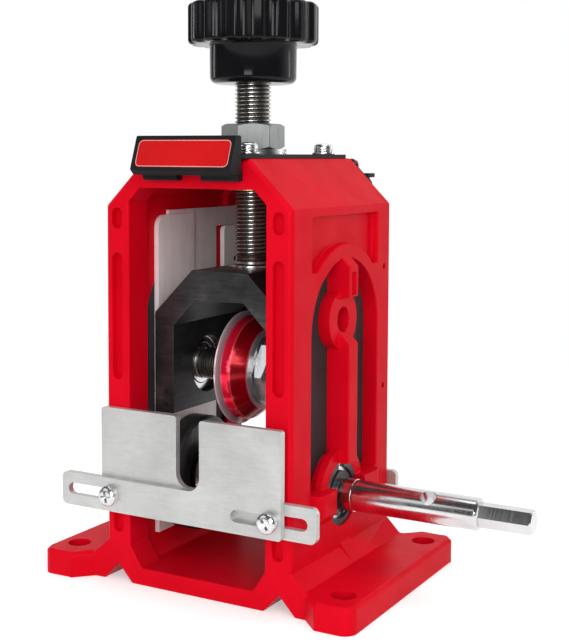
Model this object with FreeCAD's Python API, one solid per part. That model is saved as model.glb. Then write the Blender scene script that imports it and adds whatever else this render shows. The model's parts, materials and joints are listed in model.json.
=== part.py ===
import FreeCAD, Part
import math
import os

# Hand-cranked bench wire stripper. A tall cast frame on four screwed feet carries
# a geared-down feed: the crank shaft and its knurled roller lie across the bottom,
# a black yoke with the round blade slides above them, and a knob on a long screw
# sets its height. Two slotted plates at the front close the gap round the wire.
# Millimetres. X runs along the crank shaft, Y from the wire's inlet to its outlet,
# Z up. The origin is the middle of the four-hole base pattern, on the underside.

# Frame casting
frame_width = 79.0
frame_depth = 80.0
frame_height = 158.5
shoulder = 17.5
edge_break = 1.2
opening_half_width = 29.0
opening_bottom = 6.6
opening_top = frame_height - 10.8
opening_top_cut = 5.0
opening_foot_cut = 5.0
opening_foot_rise = 7.6
lip_depth = 12.0
cavity_half_width = 31.0
cavity_top = frame_height - 9.0
notch_inner = 28.3
notch_outer = 41.0
notch_height = 6.8

# Feet along both sides of the frame
foot_reach = 66.0
foot_length = frame_depth + 13.0
foot_thickness = 9.5
foot_corner = 5.0
foot_root = 45.0
foot_flare = 52.0
base_hole_x = 57.3
base_hole_y = foot_length / 2 - 12.0
base_hole_diameter = 9.0

# Pockets in the front and rear uprights
pocket_width = 4.6
pocket_depth = 2.6
pocket_x = 34.2
pocket_spans = (
    (18.8, 27.0),
    (frame_height - 81.9, frame_height - 34.9),
    (frame_height - 26.0, frame_height - 18.2),
)

# Arched side windows with their panel, rib and ring
window_y = 1.5
window_radius = 27.0
window_arch_z = frame_height - 63.3
window_sill = 38.8
window_rim = 5.2
panel_thickness = 2.4
panel_lap = 1.0
panel_gap = 0.1
rib_width = 7.4
rib_proud = 3.1
rib_chamfer = 3.0
rib_gap_bottom = window_arch_z - 1.8
rib_head_bottom = window_arch_z + 12.8
rib_head_top = window_arch_z + 24.0
rib_head_lip = 1.2
ring_radius = 11.2
ring_hole = 4.8
ring_sunk = 1.3
ring_z = window_arch_z + 4.0
head_slot_width = 4.0
head_slot_depth = 1.6
head_slot_bottom = rib_head_bottom + 0.6
head_slot_top = rib_head_top - 2.1
tablet_depth = 3.0
tablet_top = frame_height - 20.5
tablet_bottom = frame_height - 40.0
tablet_half_width = 26.8
dowel_hole_diameter = 2.4
dowel_depth = 0.4
dowel_sunk = 1.0
dowel_slot_width = 0.4
dowel_slot_depth = 0.7
dowel_hole_y = frame_depth / 2 - 5.8
dowel_hole_z = (69.4, frame_height - 42.0)

# Crank shaft, its bearings and the feed roller
shaft_z = 34.2
shaft_diameter = 12.0
shaft_left_end = -36.8
shaft_end_gap = 0.7
shaft_shoulder = 93.6
shaft_chamfer = 0.8
crank_seat_start = 45.0
crank_seat_relief = 0.2
hex_across_flats = 8.0
hex_length = 19.2
hex_chamfer = 0.8
cross_hole_diameter = 6.0
cross_hole_x = 75.0
cross_hole_tilt = 52.0
shaft_bearing_outer = 24.0
shaft_bearing_width = 6.0
left_bearing_x = -34.5
right_bearing_x = 31.7
bearing_shoulder_radius = 9.2
boss_radius = 17.2
boss_neck_radius = 15.4
boss_flange = 2.8
boss_sunk = 0.7
ear_proud = 3.4
ear_low = 30.4
ear_front = -24.0
ear_back = 26.0
ear_corner = 3.6
carrier_radius = 22.5
carrier_thickness = 8.0
carrier_screw_circle = 17.8
carrier_screw_angles = (200.0, 245.0, 295.0, 340.0)
carrier_screw_grip = 6.0
carrier_bore_gap = 0.4
roller_radius = 14.5
roller_length = 36.0
roller_chamfer = 1.0
spacer_radius = 7.6
clip_thickness = 1.0
clip_rise = 2.4
bore_clip_inner = 9.9
clip_groove_depth = 0.5
shaft_clip_mouth = 3.2
bore_clip_mouth = 4.4
shield_gap = 0.3
shield_thickness = 0.6
shield_sunk = 0.35
inner_rim_share = 0.3
outer_rim_share = 0.26

# Steel liners that guide the yoke
liner_thickness = 1.2
liner_pad = 0.8
liner_front = lip_depth + 6.8 - frame_depth / 2
liner_back = frame_depth / 2 - 2.0
liner_pad_back = 3.4
liner_top = frame_height - 20.0
liner_pad_top = liner_top - 1.7
liner_corner = 5.0
liner_notch_y = frame_depth / 2 - 19.2
liner_notch_top = frame_height - 27.7
liner_step = 8.0

# Yoke with the blade
slide_gap = 0.3
yoke_depth = 48.2
yoke_bottom = 62.2
yoke_top = 117.0
yoke_flat = 12.0
yoke_leg = 8.5
yoke_bridge = 11.1
yoke_inner_flat = 10.3
axle_z = 78.0
axle_diameter = 12.0
axle_bearing_outer = 24.0
axle_bearing_width = 6.0
axle_seat_lip = 11.0
axle_chamfer = 0.6
blade_radius = 21.8
blade_edge_x = -3.6
blade_edge_land = 0.5
blade_back_radius = 20.8
blade_back_rise = 0.8
blade_bevel_radius = 20.0
blade_bevel_rise = 1.5
blade_drum_radius = 19.4
blade_drum_rise = 4.8
blade_hub_radius = 15.2
blade_hub_rise = 10.2
blade_washer_radius = 13.4
blade_washer_thickness = 0.9
blade_nut_flats = 22.4
blade_nut_height = 4.6
blade_nut_turn = 35.0
yoke_screw_diameter = 3.0
yoke_screw_x = 23.6
yoke_screw_z = (65.2, 70.4)
yoke_screw_depth = 5.0
yoke_screw_sunk = 0.5
yoke_socket_flats = 1.5
yoke_socket_depth = 1.2

# Adjusting screw with knob, bush, nut and washers
screw_diameter = 14.0
screw_pitch = 1.5
thread_clearance = 0.06
neck_diameter = 8.0
neck_clearance = 0.06
neck_clip_gap = 0.1
neck_clip_mouth = 2.8
neck_groove_depth = 0.6
neck_foot = 1.2
neck_chamfer = 0.5
screw_chamfer = 1.0
screw_hole_gap = 0.5
thrust_washer_radius = 9.0
thrust_washer_thickness = 1.0
bush_radius = 11.0
bush_flange_radius = 13.0
bush_flange_thickness = 3.0
lock_nut_flats = 21.0
lock_nut_height = 9.4
lock_nut_turn = 32.0
nut_chamfer = 1.0
lock_washer_radius = 12.8
lock_washer_thickness = 2.0
knob_radius = 24.8
knob_lobes = 16
knob_scallop_radius = 3.4
knob_scallop_bite = 1.5
knob_hub_height = 14.5
knob_rim_height = 15.5
knob_rim_round = 1.6
knob_hub_radius = 16.4
knob_hub_bottom = frame_height + 28.0
knob_hub_round = 2.4
knob_dish_radius = 17.0
knob_dish_depth = 2.0
knob_cap_radius = 8.0
knob_cap_thickness = 1.6
knob_cap_proud = 0.6
knob_insert_radius = 10.0
knob_insert_low = 1.0
knob_insert_cover = 3.0

# Top plate, its screws and the sign
top_plate_thickness = 1.5
top_plate_half_width = 21.8
top_plate_front = -frame_depth / 2 - 3.5
top_plate_back = frame_depth / 2 - 3.2
top_plate_corner = 2.0
top_screw_x = 15.0
top_screw_turn = 25.0
top_screw_y = frame_depth / 2 - 11.0
screw_head_radius = 3.8
screw_head_height = 2.5
split_washer_radius = 3.7
split_washer_thickness = 1.0
flat_washer_radius = 4.4
flat_washer_thickness = 0.8
m4_diameter = 4.0
head_crown_share = 0.45
recess_arm_share = 0.55
recess_bar_share = 0.16
recess_depth_share = 0.5
m4_grip = 7.6
drill_point = 0.4
m4_hole_diameter = 4.4
sign_half_width = 20.8
sign_bottom = frame_height - 5.9
sign_lip = 1.6
sign_top = frame_height + 7.9
sign_front_bottom = -frame_depth / 2 - 10.2
sign_front_top = -frame_depth / 2 - 5.9
sign_back_y = -frame_depth / 2 - 2.2
sign_frame = 1.3
sign_insert_depth = 1.2
sign_insert_sunk = 0.3
sign_insert_gap = 0.05
sign_corner = 2.0
sign_tab_share = 0.7
sign_tab_gap = 0.5
sign_foot_drop = 2.0
sign_foot_outer = 20.0
sign_foot_left_inner = -5.3
sign_foot_right_inner = 4.8
sign_plate_gap = 0.05

# Slotted guide plates at the inlet
guide_thickness = 2.5
guide_gap = 0.1
guide_bottom = 27.9
guide_band_top = 40.4
guide_top = 66.2
guide_screw_x = 33.8
guide_slot_width = 4.4
guide_corner = 1.2
guide_tongue_corner = 2.4
guide_notch_radius = 5.0
guide_screw_turns = (10.0, 38.0)
front_plate_left = -56.6
front_plate_right = 38.4
front_blade_left = 5.0
front_near_slot = (18.1, 36.0)
front_far_slot = (-53.6, -31.6)
rear_plate_left = -40.0
rear_plate_right = 50.7
rear_blade_right = -6.5
rear_near_slot = (-36.0, -18.1)
rear_far_slot = (31.4, 47.4)

# Outlet side: wire rest, wear strips and cover
rest_half_width = 43.0
rest_bottom = 20.4
rest_top = 34.0
rest_thickness = 2.5
strip_front = frame_depth / 2 - 14.4
strip_back = frame_depth / 2 - 2.4
strip_bottom = 62.0
strip_top = liner_notch_top - 0.2
strip_corner = 2.5
m3_diameter = 3.0
m3_head_radius = 2.8
m3_head_height = 1.8
head_gap = 0.2
cover_half_width = 30.6
cover_ear_half_width = 36.6
cover_ear_height = 8.0
cover_bottom = 67.0
cover_top = frame_height - 0.3
cover_thickness = 1.6
cover_corner = 1.5
cover_step = 2.0
cover_edge_gap = 1.0
cover_hood_z = frame_height - 7.5
cover_hood_half_width = 29.0
cover_hood_reach = 7.2
cover_screw_x = 21.5
cover_screw_z = frame_height - 2.8
cover_screw_head = 2.8
cover_screw_grip = 4.2
cover_ear_screw_x = 33.6

# Places worked out from the sizes above
side_x = frame_width / 2
rest_middle = (rest_bottom + rest_top) / 2
front_y = -frame_depth / 2
rear_y = frame_depth / 2
cavity_front = front_y + lip_depth
cover_ear_screw_z = cover_bottom + cover_ear_height / 2
cavity_rear = rear_y - lip_depth
panel_face = cavity_half_width + panel_thickness
rib_face = side_x + rib_proud
boss_face = side_x - boss_sunk
shaft_radius = shaft_diameter / 2
shaft_bearing_radius = shaft_bearing_outer / 2
liner_face = cavity_half_width - liner_thickness - liner_pad
yoke_half_width = liner_face - slide_gap
yoke_inner = yoke_half_width - yoke_leg
yoke_inner_top = yoke_top - yoke_bridge
axle_radius = axle_diameter / 2
axle_bearing_radius = axle_bearing_outer / 2
screw_radius = screw_diameter / 2 - thread_clearance
neck_radius = neck_diameter / 2
screw_foot = yoke_top + thrust_washer_thickness
plate_top = frame_height + top_plate_thickness
nut_bottom = plate_top + lock_washer_thickness
nut_top = nut_bottom + lock_nut_height
sign_face_bottom = sign_bottom + sign_lip
knob_rim_bottom = knob_hub_bottom + knob_hub_height
knob_top = knob_rim_bottom + knob_rim_height
screw_top = knob_top - knob_dish_depth - knob_cap_thickness
liner_bottom = opening_bottom + opening_foot_rise + panel_gap
crank_seat_radius = shaft_radius - crank_seat_relief
far = 400.0


def vec(x, y, z):
    return FreeCAD.Vector(x, y, z)


def block(x0, x1, y0, y1, z0, z1):
    return Part.makeBox(x1 - x0, y1 - y0, z1 - z0, vec(x0, y0, z0))


def disc_x(radius, x0, x1, y=0.0, z=0.0):
    return Part.makeCylinder(radius, x1 - x0, vec(x0, y, z), vec(1, 0, 0))


def disc_y(radius, y0, y1, x=0.0, z=0.0):
    return Part.makeCylinder(radius, y1 - y0, vec(x, y0, z), vec(0, 1, 0))


def disc_z(radius, z0, z1, x=0.0, y=0.0):
    return Part.makeCylinder(radius, z1 - z0, vec(x, y, z0), vec(0, 0, 1))


def outline(corners, place):
    """Closed wire through (u, v, radius) corners; place turns u, v into a point."""
    count = len(corners)
    entries = []
    exits = []
    arcs = []
    for index, (u, v, radius) in enumerate(corners):
        before = corners[index - 1]
        after = corners[(index + 1) % count]
        corner = vec(u, v, 0)
        back = (vec(before[0], before[1], 0) - corner).normalize()
        ahead = (vec(after[0], after[1], 0) - corner).normalize()
        half = math.acos(max(-1.0, min(1.0, back.dot(ahead)))) / 2
        if radius <= 0:
            entries.append(corner)
            exits.append(corner)
            arcs.append(None)
            continue
        run = radius / math.tan(half)
        inward = (back + ahead).normalize()
        centre = corner + inward * (radius / math.sin(half))
        entries.append(corner + back * run)
        exits.append(corner + ahead * run)
        arcs.append(centre - inward * radius)
    edges = []
    for index in range(count):
        start = entries[index]
        end = exits[index]
        if arcs[index] is not None:
            middle = arcs[index]
            arc = Part.Arc(place(start.x, start.y), place(middle.x, middle.y), place(end.x, end.y))
            edges.append(arc.toShape())
        following = entries[(index + 1) % count]
        if end.distanceToPoint(following) > 1e-6:
            edges.append(Part.makeLine(place(end.x, end.y), place(following.x, following.y)))
    return Part.Wire(edges)


def prism_x(corners, x0, x1):
    wire = outline(corners, lambda u, v: vec(x0, u, v))
    return Part.Face(wire).extrude(vec(x1 - x0, 0, 0))


def prism_y(corners, y0, y1):
    wire = outline(corners, lambda u, v: vec(u, y0, v))
    return Part.Face(wire).extrude(vec(0, y1 - y0, 0))


def prism_z(corners, z0, z1):
    wire = outline(corners, lambda u, v: vec(u, v, z0))
    return Part.Face(wire).extrude(vec(0, 0, z1 - z0))


def sharp(points):
    return [(u, v, 0.0) for u, v in points]


def slot_y(x0, x1, z0, z1, y0, y1):
    """Round-ended slot whose ends take half of the narrower side."""
    radius = min(x1 - x0, z1 - z0) * 0.4999
    corners = [(x0, z0, radius), (x1, z0, radius), (x1, z1, radius), (x0, z1, radius)]
    return prism_y(corners, y0, y1)


def slot_x(y0, y1, z0, z1, x0, x1):
    radius = min(y1 - y0, z1 - z0) * 0.4999
    corners = [(y0, z0, radius), (y1, z0, radius), (y1, z1, radius), (y0, z1, radius)]
    return prism_x(corners, x0, x1)


def turned(profile, base, axis, side):
    """Solid of revolution; profile is (radius, length along axis) from base."""
    points = [base + side * radius + axis * length for radius, length in profile]
    points.append(points[0])
    face = Part.Face(Part.makePolygon(points))
    return face.revolve(base, axis, 360)


def turned_x(profile, y=0.0, z=0.0):
    return turned(profile, vec(0, y, z), vec(1, 0, 0), vec(0, 1, 0))


def turned_z(profile, x=0.0, y=0.0):
    return turned(profile, vec(x, y, 0), vec(0, 0, 1), vec(1, 0, 0))


def hexagon(flats, start_angle):
    radius = flats / math.sqrt(3)
    points = []
    for step in range(6):
        angle = math.radians(start_angle + 60 * step)
        points.append((radius * math.cos(angle), radius * math.sin(angle)))
    return points


def nut_blank(flats, height, start_angle):
    """Hexagon from z=0 up with both ends turned off at the corners."""
    body = prism_z(sharp(hexagon(flats, start_angle)), 0, height)
    corner = flats / math.sqrt(3)
    flat = flats / 2
    drop = (corner - flat) * math.tan(math.radians(30)) + 0.05
    cone = turned_z([
        (0, 0), (flat, 0), (corner + 0.1, drop), (corner + 0.1, height - drop),
        (flat, height), (0, height),
    ])
    return body.common(cone)


def along_x(shape, x, y, z):
    """Turns a shape built up Z so that it runs along +X from the given place."""
    moved = shape.copy()
    moved.rotate(vec(0, 0, 0), vec(0, 1, 0), 90)
    moved.translate(vec(x, y, z))
    return moved


def along_y(shape, x, y, z, forward):
    """Turns a shape built up Z so that it runs along +Y, or -Y if not forward."""
    moved = shape.copy()
    moved.rotate(vec(0, 0, 0), vec(1, 0, 0), -90 if forward else 90)
    moved.translate(vec(x, y, z))
    return moved


def placed(shape, x, y, z):
    moved = shape.copy()
    moved.translate(vec(x, y, z))
    return moved


def mirrored_x(shape):
    return shape.mirror(vec(0, 0, 0), vec(1, 0, 0))


def pan_screw(diameter, head_radius, head_height, length):
    """Pan-head cross-recess screw: head from z=0 up, shank from z=0 down."""
    radius = head_radius
    crown = head_height * head_crown_share
    head = turned_z([
        (0, 0), (radius, 0), (radius, head_height - crown),
        (radius * 0.82, head_height - crown * 0.3), (radius * 0.45, head_height), (0, head_height),
    ])
    arm = radius * recess_arm_share
    bar = radius * recess_bar_share
    depth = head_height * recess_depth_share
    recess = block(-arm, arm, -bar, bar, head_height - depth, head_height + 1)
    recess = recess.fuse(block(-bar, bar, -arm, arm, head_height - depth, head_height + 1))
    shank = disc_z(diameter / 2, -length, 0.0)
    return head.cut(recess).fuse(shank).removeSplitter()


def washer(outer, inner, thickness):
    return disc_z(outer, 0, thickness).cut(disc_z(inner, -1, thickness + 1))


def split_washer(outer, inner, thickness):
    cut = block(inner * 0.5, outer + 1, -0.25, 0.25, -1, thickness + 1)
    return washer(outer, inner, thickness).cut(cut)


def save(shape, node):
    if shape.ShapeType != "Compound" and len(shape.Solids) == 1:
        shape = shape.Solids[0]
    if not shape.isValid() or not shape.Solids:
        raise RuntimeError("bad shape: " + node)
    shape.exportStep("parts/" + node + ".step")
    box = shape.BoundBox
    print("%-26s %2d solids  x %7.2f %7.2f  y %7.2f %7.2f  z %7.2f %7.2f" % (
        node, len(shape.Solids), box.XMin, box.XMax, box.YMin, box.YMax, box.ZMin, box.ZMax))


def group(shapes):
    return Part.makeCompound(shapes)


# Frame casting


def frame_shell():
    """Outer block with cut shoulders and a broken front and rear edge."""
    height = frame_height
    low = height - shoulder
    inset = side_x - shoulder
    body = prism_y(sharp([
        (-side_x, 0), (side_x, 0), (side_x, low), (inset, height),
        (-inset, height), (-side_x, low),
    ]), front_y, rear_y)
    edges = []
    for edge in body.Edges:
        ys = [vertex.Y for vertex in edge.Vertexes]
        zs = [vertex.Z for vertex in edge.Vertexes]
        if abs(ys[0] - ys[-1]) < 1e-6 and max(zs) > 1e-6:
            edges.append(edge)
    return body.makeChamfer(edge_break, edges)


def foot():
    """Right-hand foot with flared ends, rounded corners and a sloped root."""
    half = foot_length / 2
    start = side_x - lip_depth / 2
    plan = prism_z([
        (start, front_y, 0), (foot_root, front_y, 0), (foot_flare, -half, 1.5),
        (foot_reach, -half, foot_corner), (foot_reach, half, foot_corner),
        (foot_flare, half, 1.5), (foot_root, rear_y, 0), (start, rear_y, 0),
    ], 0, foot_thickness)
    top_edges = []
    for edge in plan.Edges:
        box = edge.BoundBox
        if box.ZMin > foot_thickness - 1e-6 and box.XMin > foot_root + 1e-6:
            top_edges.append(edge)
    plan = plan.makeChamfer(edge_break, top_edges)
    root = foot_root - side_x
    slope = prism_y(sharp([
        (start, 0), (foot_root, 0), (foot_root, foot_thickness),
        (side_x, foot_thickness + root), (start, foot_thickness + root),
    ]), front_y, rear_y)
    return plan.fuse(slope)


def opening_prism(half_width, top, y0, y1):
    return prism_y(sharp([
        (-half_width, opening_bottom + opening_foot_rise),
        (-half_width + opening_foot_cut, opening_bottom),
        (half_width - opening_foot_cut, opening_bottom),
        (half_width, opening_bottom + opening_foot_rise),
        (half_width, top - opening_top_cut),
        (half_width - opening_top_cut, top),
        (-half_width + opening_top_cut, top),
        (-half_width, top - opening_top_cut),
    ]), y0, y1)


def arch_prism(radius, low, x0, x1):
    """Window outline, two uprights with a half circle on top, from x0 to x1."""
    left = window_y - radius
    right = window_y + radius
    crown = window_arch_z + radius
    edges = [
        Part.makeLine(vec(x0, right, window_arch_z), vec(x0, right, low)),
        Part.makeLine(vec(x0, right, low), vec(x0, left, low)),
        Part.makeLine(vec(x0, left, low), vec(x0, left, window_arch_z)),
        Part.Arc(vec(x0, left, window_arch_z), vec(x0, window_y, crown),
                 vec(x0, right, window_arch_z)).toShape(),
    ]
    return Part.Face(Part.Wire(edges)).extrude(vec(x1 - x0, 0, 0))


def side_cuts():
    """Window, panel rebate, blank tablet and dowel holes of the right side."""
    cuts = [arch_prism(window_radius, window_sill, cavity_half_width - 1, side_x + 1)]
    cuts.append(panel_blank(0.0, cavity_half_width - 1))
    tablet = block(side_x - tablet_depth, side_x + 1, window_y - tablet_half_width,
                   window_y + tablet_half_width, tablet_bottom, tablet_top)
    rim = disc_x(window_radius + window_rim, side_x - tablet_depth - 1, side_x + 2,
                 window_y, window_arch_z)
    cuts.append(tablet.cut(rim))
    for z in dowel_hole_z:
        cuts.append(disc_x(dowel_hole_diameter / 2, cavity_half_width - 1, side_x + 1, dowel_hole_y, z))
    seat = block(opening_half_width - 1, cavity_half_width, cavity_rear - 1,
                 liner_back + panel_gap, strip_bottom - panel_gap, liner_top + panel_gap)
    cuts.append(seat)
    return cuts


def panel_blank(gap, x0):
    """Side panel's shape from x0 to its outer face, shrunk all round by gap."""
    lap = panel_lap - gap
    arch = arch_prism(window_radius + lap, window_sill - lap, x0, panel_face)
    return arch


def side_rib():
    """Rib, ring and bearing boss that stand in front of the right panel."""
    root = panel_face + panel_gap
    half = rib_width / 2
    low = shaft_z
    ring_face = side_x - ring_sunk
    slope = rib_face - ring_face
    crown = window_arch_z + window_radius + window_rim / 2
    web = block(root, ring_face, window_y - half, window_y + half, low, crown)
    lower = prism_y(sharp([
        (root, low), (rib_face, low), (rib_face, rib_gap_bottom - rib_chamfer),
        (ring_face, rib_gap_bottom + rib_chamfer / 2), (root, rib_gap_bottom),
    ]), window_y - half, window_y + half)
    head = prism_y(sharp([
        (root, rib_head_bottom - rib_head_lip), (ring_face, rib_head_bottom - rib_head_lip),
        (rib_face, rib_head_bottom), (rib_face, rib_head_top),
        (ring_face, rib_head_top + slope), (root, rib_head_top + slope),
    ]), window_y - half, window_y + half)
    slot_half = head_slot_width / 2
    slot = block(rib_face - head_slot_depth, rib_face + 1, window_y - slot_half,
                 window_y + slot_half, head_slot_bottom, head_slot_top)
    head = head.cut(slot)
    ring = disc_x(ring_radius, root, ring_face, window_y, ring_z)
    neck = disc_x(boss_neck_radius, root, boss_face, 0, shaft_z)
    flange = disc_x(boss_radius, boss_face - boss_flange, boss_face, 0, shaft_z)
    knee = prism_y(sharp([
        (root, foot_thickness), (foot_root, foot_thickness),
        (boss_face, shaft_z - boss_radius), (boss_face, shaft_z), (root, shaft_z),
    ]), window_y - half, window_y + half)
    body = web.fuse([lower, head, ring, neck, flange, knee, side_ears()])
    hole = disc_x(ring_hole, root - 1, side_x, window_y, ring_z)
    return body.cut(hole)


def side_ears():
    """Rounded pads in front of and behind the bearing, level with the window's sill."""
    start = side_x - edge_break
    end = side_x + ear_proud
    pad = prism_z([
        (start, ear_front, 0), (end, ear_front, ear_corner),
        (end, ear_back, ear_corner), (start, ear_back, 0),
    ], ear_low - ear_proud, window_sill)
    under = prism_y(sharp([
        (side_x, ear_low - ear_proud - 1), (end + 1, ear_low - ear_proud - 1),
        (end + 1, ear_low + 1), (side_x, ear_low - ear_proud),
    ]), ear_front - 1, ear_back + 1)
    return pad.cut(under)


def upright_pockets():
    pockets = []
    half = pocket_width / 2
    for sign in (-1, 1):
        for low, high in pocket_spans:
            x = sign * pocket_x
            pockets.append(slot_y(x - half, x + half, low, high, front_y - 1, front_y + pocket_depth))
            pockets.append(slot_y(x - half, x + half, low, high, rear_y - pocket_depth, rear_y + 1))
    return pockets


def frame_holes():
    holes = []
    for x in (-base_hole_x, base_hole_x):
        for y in (-base_hole_y, base_hole_y):
            holes.append(disc_z(base_hole_diameter / 2, -1, foot_thickness + 1, x, y))
    thread = m4_diameter / 2
    bottom = m4_grip + drill_point
    for x in (-guide_screw_x, guide_screw_x):
        holes.append(disc_y(thread, front_y - 1, front_y + bottom, x, shaft_z))
        holes.append(disc_y(thread, rear_y - bottom, rear_y + 1, x, rest_middle))
    for x in (-top_screw_x, top_screw_x):
        for y in (-top_screw_y, top_screw_y):
            holes.append(disc_z(thread, frame_height - bottom, frame_height + 1, x, y))
    for x, z in cover_screw_places():
        holes.append(disc_y(m3_diameter / 2, rear_y - cover_screw_grip - drill_point, rear_y + 1, x, z))
    holes.append(disc_z(bush_radius, cavity_top - 2, frame_height + 1))
    reach = cavity_half_width + carrier_screw_grip + drill_point
    for y, z in carrier_screw_circle_places():
        for sign in (-1, 1):
            holes.append(disc_x(m3_diameter / 2, min(0, sign * reach), max(0, sign * reach), y, z))
    bore = shaft_bearing_radius
    holes.append(disc_x(bore, left_bearing_x, 0, 0, shaft_z))
    holes.append(disc_x(bearing_shoulder_radius, shaft_left_end - shaft_end_gap, 0, 0, shaft_z))
    holes.append(disc_x(bore, 0, side_x + ear_proud + 1, 0, shaft_z))
    return holes


def frame_casting():
    body = frame_shell()
    right_foot = foot()
    body = body.fuse([right_foot, mirrored_x(right_foot)])
    body = body.cut(opening_prism(opening_half_width, opening_top, front_y - 1, rear_y + 1))
    cavity = opening_prism(cavity_half_width, cavity_top, cavity_front, cavity_rear)
    body = body.cut(cavity)
    notch_middle = (notch_inner + notch_outer) / 2
    notch = prism_y(sharp([
        (notch_inner, -0.001), (notch_outer, -0.001), (notch_middle, notch_height),
    ]), -far, far)
    body = body.cut([notch, mirrored_x(notch)])
    cuts = side_cuts()
    body = body.cut(cuts + [mirrored_x(cut) for cut in cuts])
    rib = side_rib()
    body = body.fuse([rib, mirrored_x(rib)])
    body = body.cut(upright_pockets())
    body = body.cut(frame_holes())
    return body.removeSplitter()


# Panels and liners


def side_panel():
    bore = disc_x(boss_neck_radius + panel_gap, 0, far, 0, shaft_z)
    return panel_blank(panel_gap, cavity_half_width).cut(bore)


def rear_strip():
    """Right-hand wear strip behind the liner, screwed on from outside the frame."""
    corner = strip_corner
    body = prism_x([
        (strip_front, strip_bottom, corner), (strip_back, strip_bottom, corner),
        (strip_back, strip_top, corner), (strip_front, strip_top, corner),
    ], liner_face, cavity_half_width)
    holes = [disc_x(dowel_hole_diameter / 2, 0, far, dowel_hole_y, z) for z in dowel_hole_z]
    return body.cut(holes)


def strip_screws():
    """Headless screws through both side walls into the strips."""
    screws = []
    inside = liner_face + dowel_depth
    outside = side_x - dowel_sunk
    half = dowel_slot_width / 2
    for z in dowel_hole_z:
        screw = disc_x(dowel_hole_diameter / 2, inside, outside, dowel_hole_y, z)
        slot = block(outside - dowel_slot_depth, outside + 1, dowel_hole_y - dowel_hole_diameter,
                     dowel_hole_y + dowel_hole_diameter, z - half, z + half)
        screw = screw.cut(slot)
        screws.extend([screw, mirrored_x(screw)])
    return group(screws)


def liner():
    """Right-hand liner: a base sheet with a raised wear pad at its front."""
    wall = cavity_half_width
    step = liner_front + liner_step
    base = prism_x([
        (liner_front, liner_bottom, 0), (liner_notch_y, liner_bottom, 0),
        (liner_notch_y, liner_notch_top, 0), (liner_back, liner_notch_top, 0),
        (liner_back, liner_top, 0), (step, liner_top, 0), (step, liner_pad_top, 0),
        (liner_front, liner_pad_top, liner_corner),
    ], wall - liner_thickness, wall)
    pad = prism_x([
        (liner_front, liner_bottom, 0), (liner_pad_back, liner_bottom, 0),
        (liner_pad_back, liner_pad_top, 0), (liner_front, liner_pad_top, liner_corner),
    ], liner_face, wall - liner_thickness)
    bore = disc_x(shaft_bearing_radius, 0, far, 0, shaft_z)
    holes = [disc_x(m3_diameter / 2, 0, far, y, z) for y, z in carrier_screw_circle_places()]
    return base.fuse(pad).cut([bore] + holes).removeSplitter()


# Crank shaft group


def carrier_screw_circle_places():
    places = []
    for turn in carrier_screw_angles:
        angle = math.radians(turn)
        places.append((carrier_screw_circle * math.cos(angle),
                       shaft_z + carrier_screw_circle * math.sin(angle)))
    return places


def bearing_carrier():
    """Right-hand round carrier that keeps the bearing and clamps the liner."""
    face = liner_face - carrier_thickness
    body = turned_x([
        (0, face), (carrier_radius - edge_break, face), (carrier_radius, face + edge_break),
        (carrier_radius, liner_face), (0, liner_face),
    ], 0, shaft_z)
    seat = face + m3_head_height + head_gap
    for y, z in carrier_screw_circle_places():
        body = body.cut(disc_x(m3_diameter / 2, 0, far, y, z))
        body = body.cut(disc_x(m3_head_radius + head_gap, face - 1, seat, y, z))
    return body


def left_carrier():
    bore = disc_x(shaft_bearing_radius, -far, far, 0, shaft_z)
    return mirrored_x(bearing_carrier()).cut(bore)


def right_carrier():
    """Carrier with a spigot that reaches through the liner to the bearing."""
    spigot = disc_x(shaft_bearing_radius, liner_face, right_bearing_x, 0, shaft_z)
    spigot = spigot.cut(disc_x(bearing_shoulder_radius, 0, far, 0, shaft_z))
    bore = disc_x(spacer_radius + carrier_bore_gap, -far, liner_face, 0, shaft_z)
    return bearing_carrier().cut(bore).fuse(spigot)


def carrier_screws():
    screws = []
    seat = liner_face - carrier_thickness + m3_head_height + head_gap
    length = cavity_half_width + carrier_screw_grip - seat
    for y, z in carrier_screw_circle_places():
        screw = pan_screw(m3_diameter, m3_head_radius, m3_head_height, length)
        screw.rotate(vec(0, 0, 0), vec(0, 1, 0), -90)
        screw.translate(vec(seat, y, z))
        screws.extend([screw, mirrored_x(screw)])
    return group(screws)


def bearing_rings(outer_radius, bore_radius, width, x, z):
    """Outer ring with its two shields, and the inner ring, of one ball bearing."""
    span = outer_radius - bore_radius
    inner_rim = bore_radius + span * inner_rim_share
    outer_rim = outer_radius - span * outer_rim_share
    shield_inner = inner_rim + shield_gap
    web = shield_thickness
    sunk = shield_sunk
    outer = turned_x([
        (outer_radius, x), (outer_radius, x + width), (outer_rim, x + width),
        (outer_rim, x + width - sunk), (shield_inner, x + width - sunk),
        (shield_inner, x + width - sunk - web), (outer_rim, x + width - sunk - web),
        (outer_rim, x + sunk + web), (shield_inner, x + sunk + web),
        (shield_inner, x + sunk), (outer_rim, x + sunk), (outer_rim, x),
    ], 0, z)
    inner = turned_x([
        (bore_radius, x), (bore_radius, x + width), (inner_rim, x + width), (inner_rim, x),
    ], 0, z)
    return outer, inner


def hex_end():
    start = shaft_shoulder
    body = prism_x([(y, shaft_z + z, 0) for y, z in hexagon(hex_across_flats, 0)],
                   start, start + hex_length)
    corner = hex_across_flats / math.sqrt(3)
    cone = turned_x([
        (0, start), (corner + 0.1, start), (corner + 0.1, start + hex_length - hex_chamfer),
        (corner - hex_chamfer, start + hex_length), (0, start + hex_length),
    ], 0, shaft_z)
    return body.common(cone)


def clip_groove(radius, x):
    return turned_x([
        (radius - clip_groove_depth, x), (radius + 1, x), (radius + 1, x + clip_thickness),
        (radius - clip_groove_depth, x + clip_thickness),
    ], 0, shaft_z)


def shaft_clip_places():
    right = right_bearing_x + shaft_bearing_width
    return (left_bearing_x - clip_thickness, right)


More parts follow.
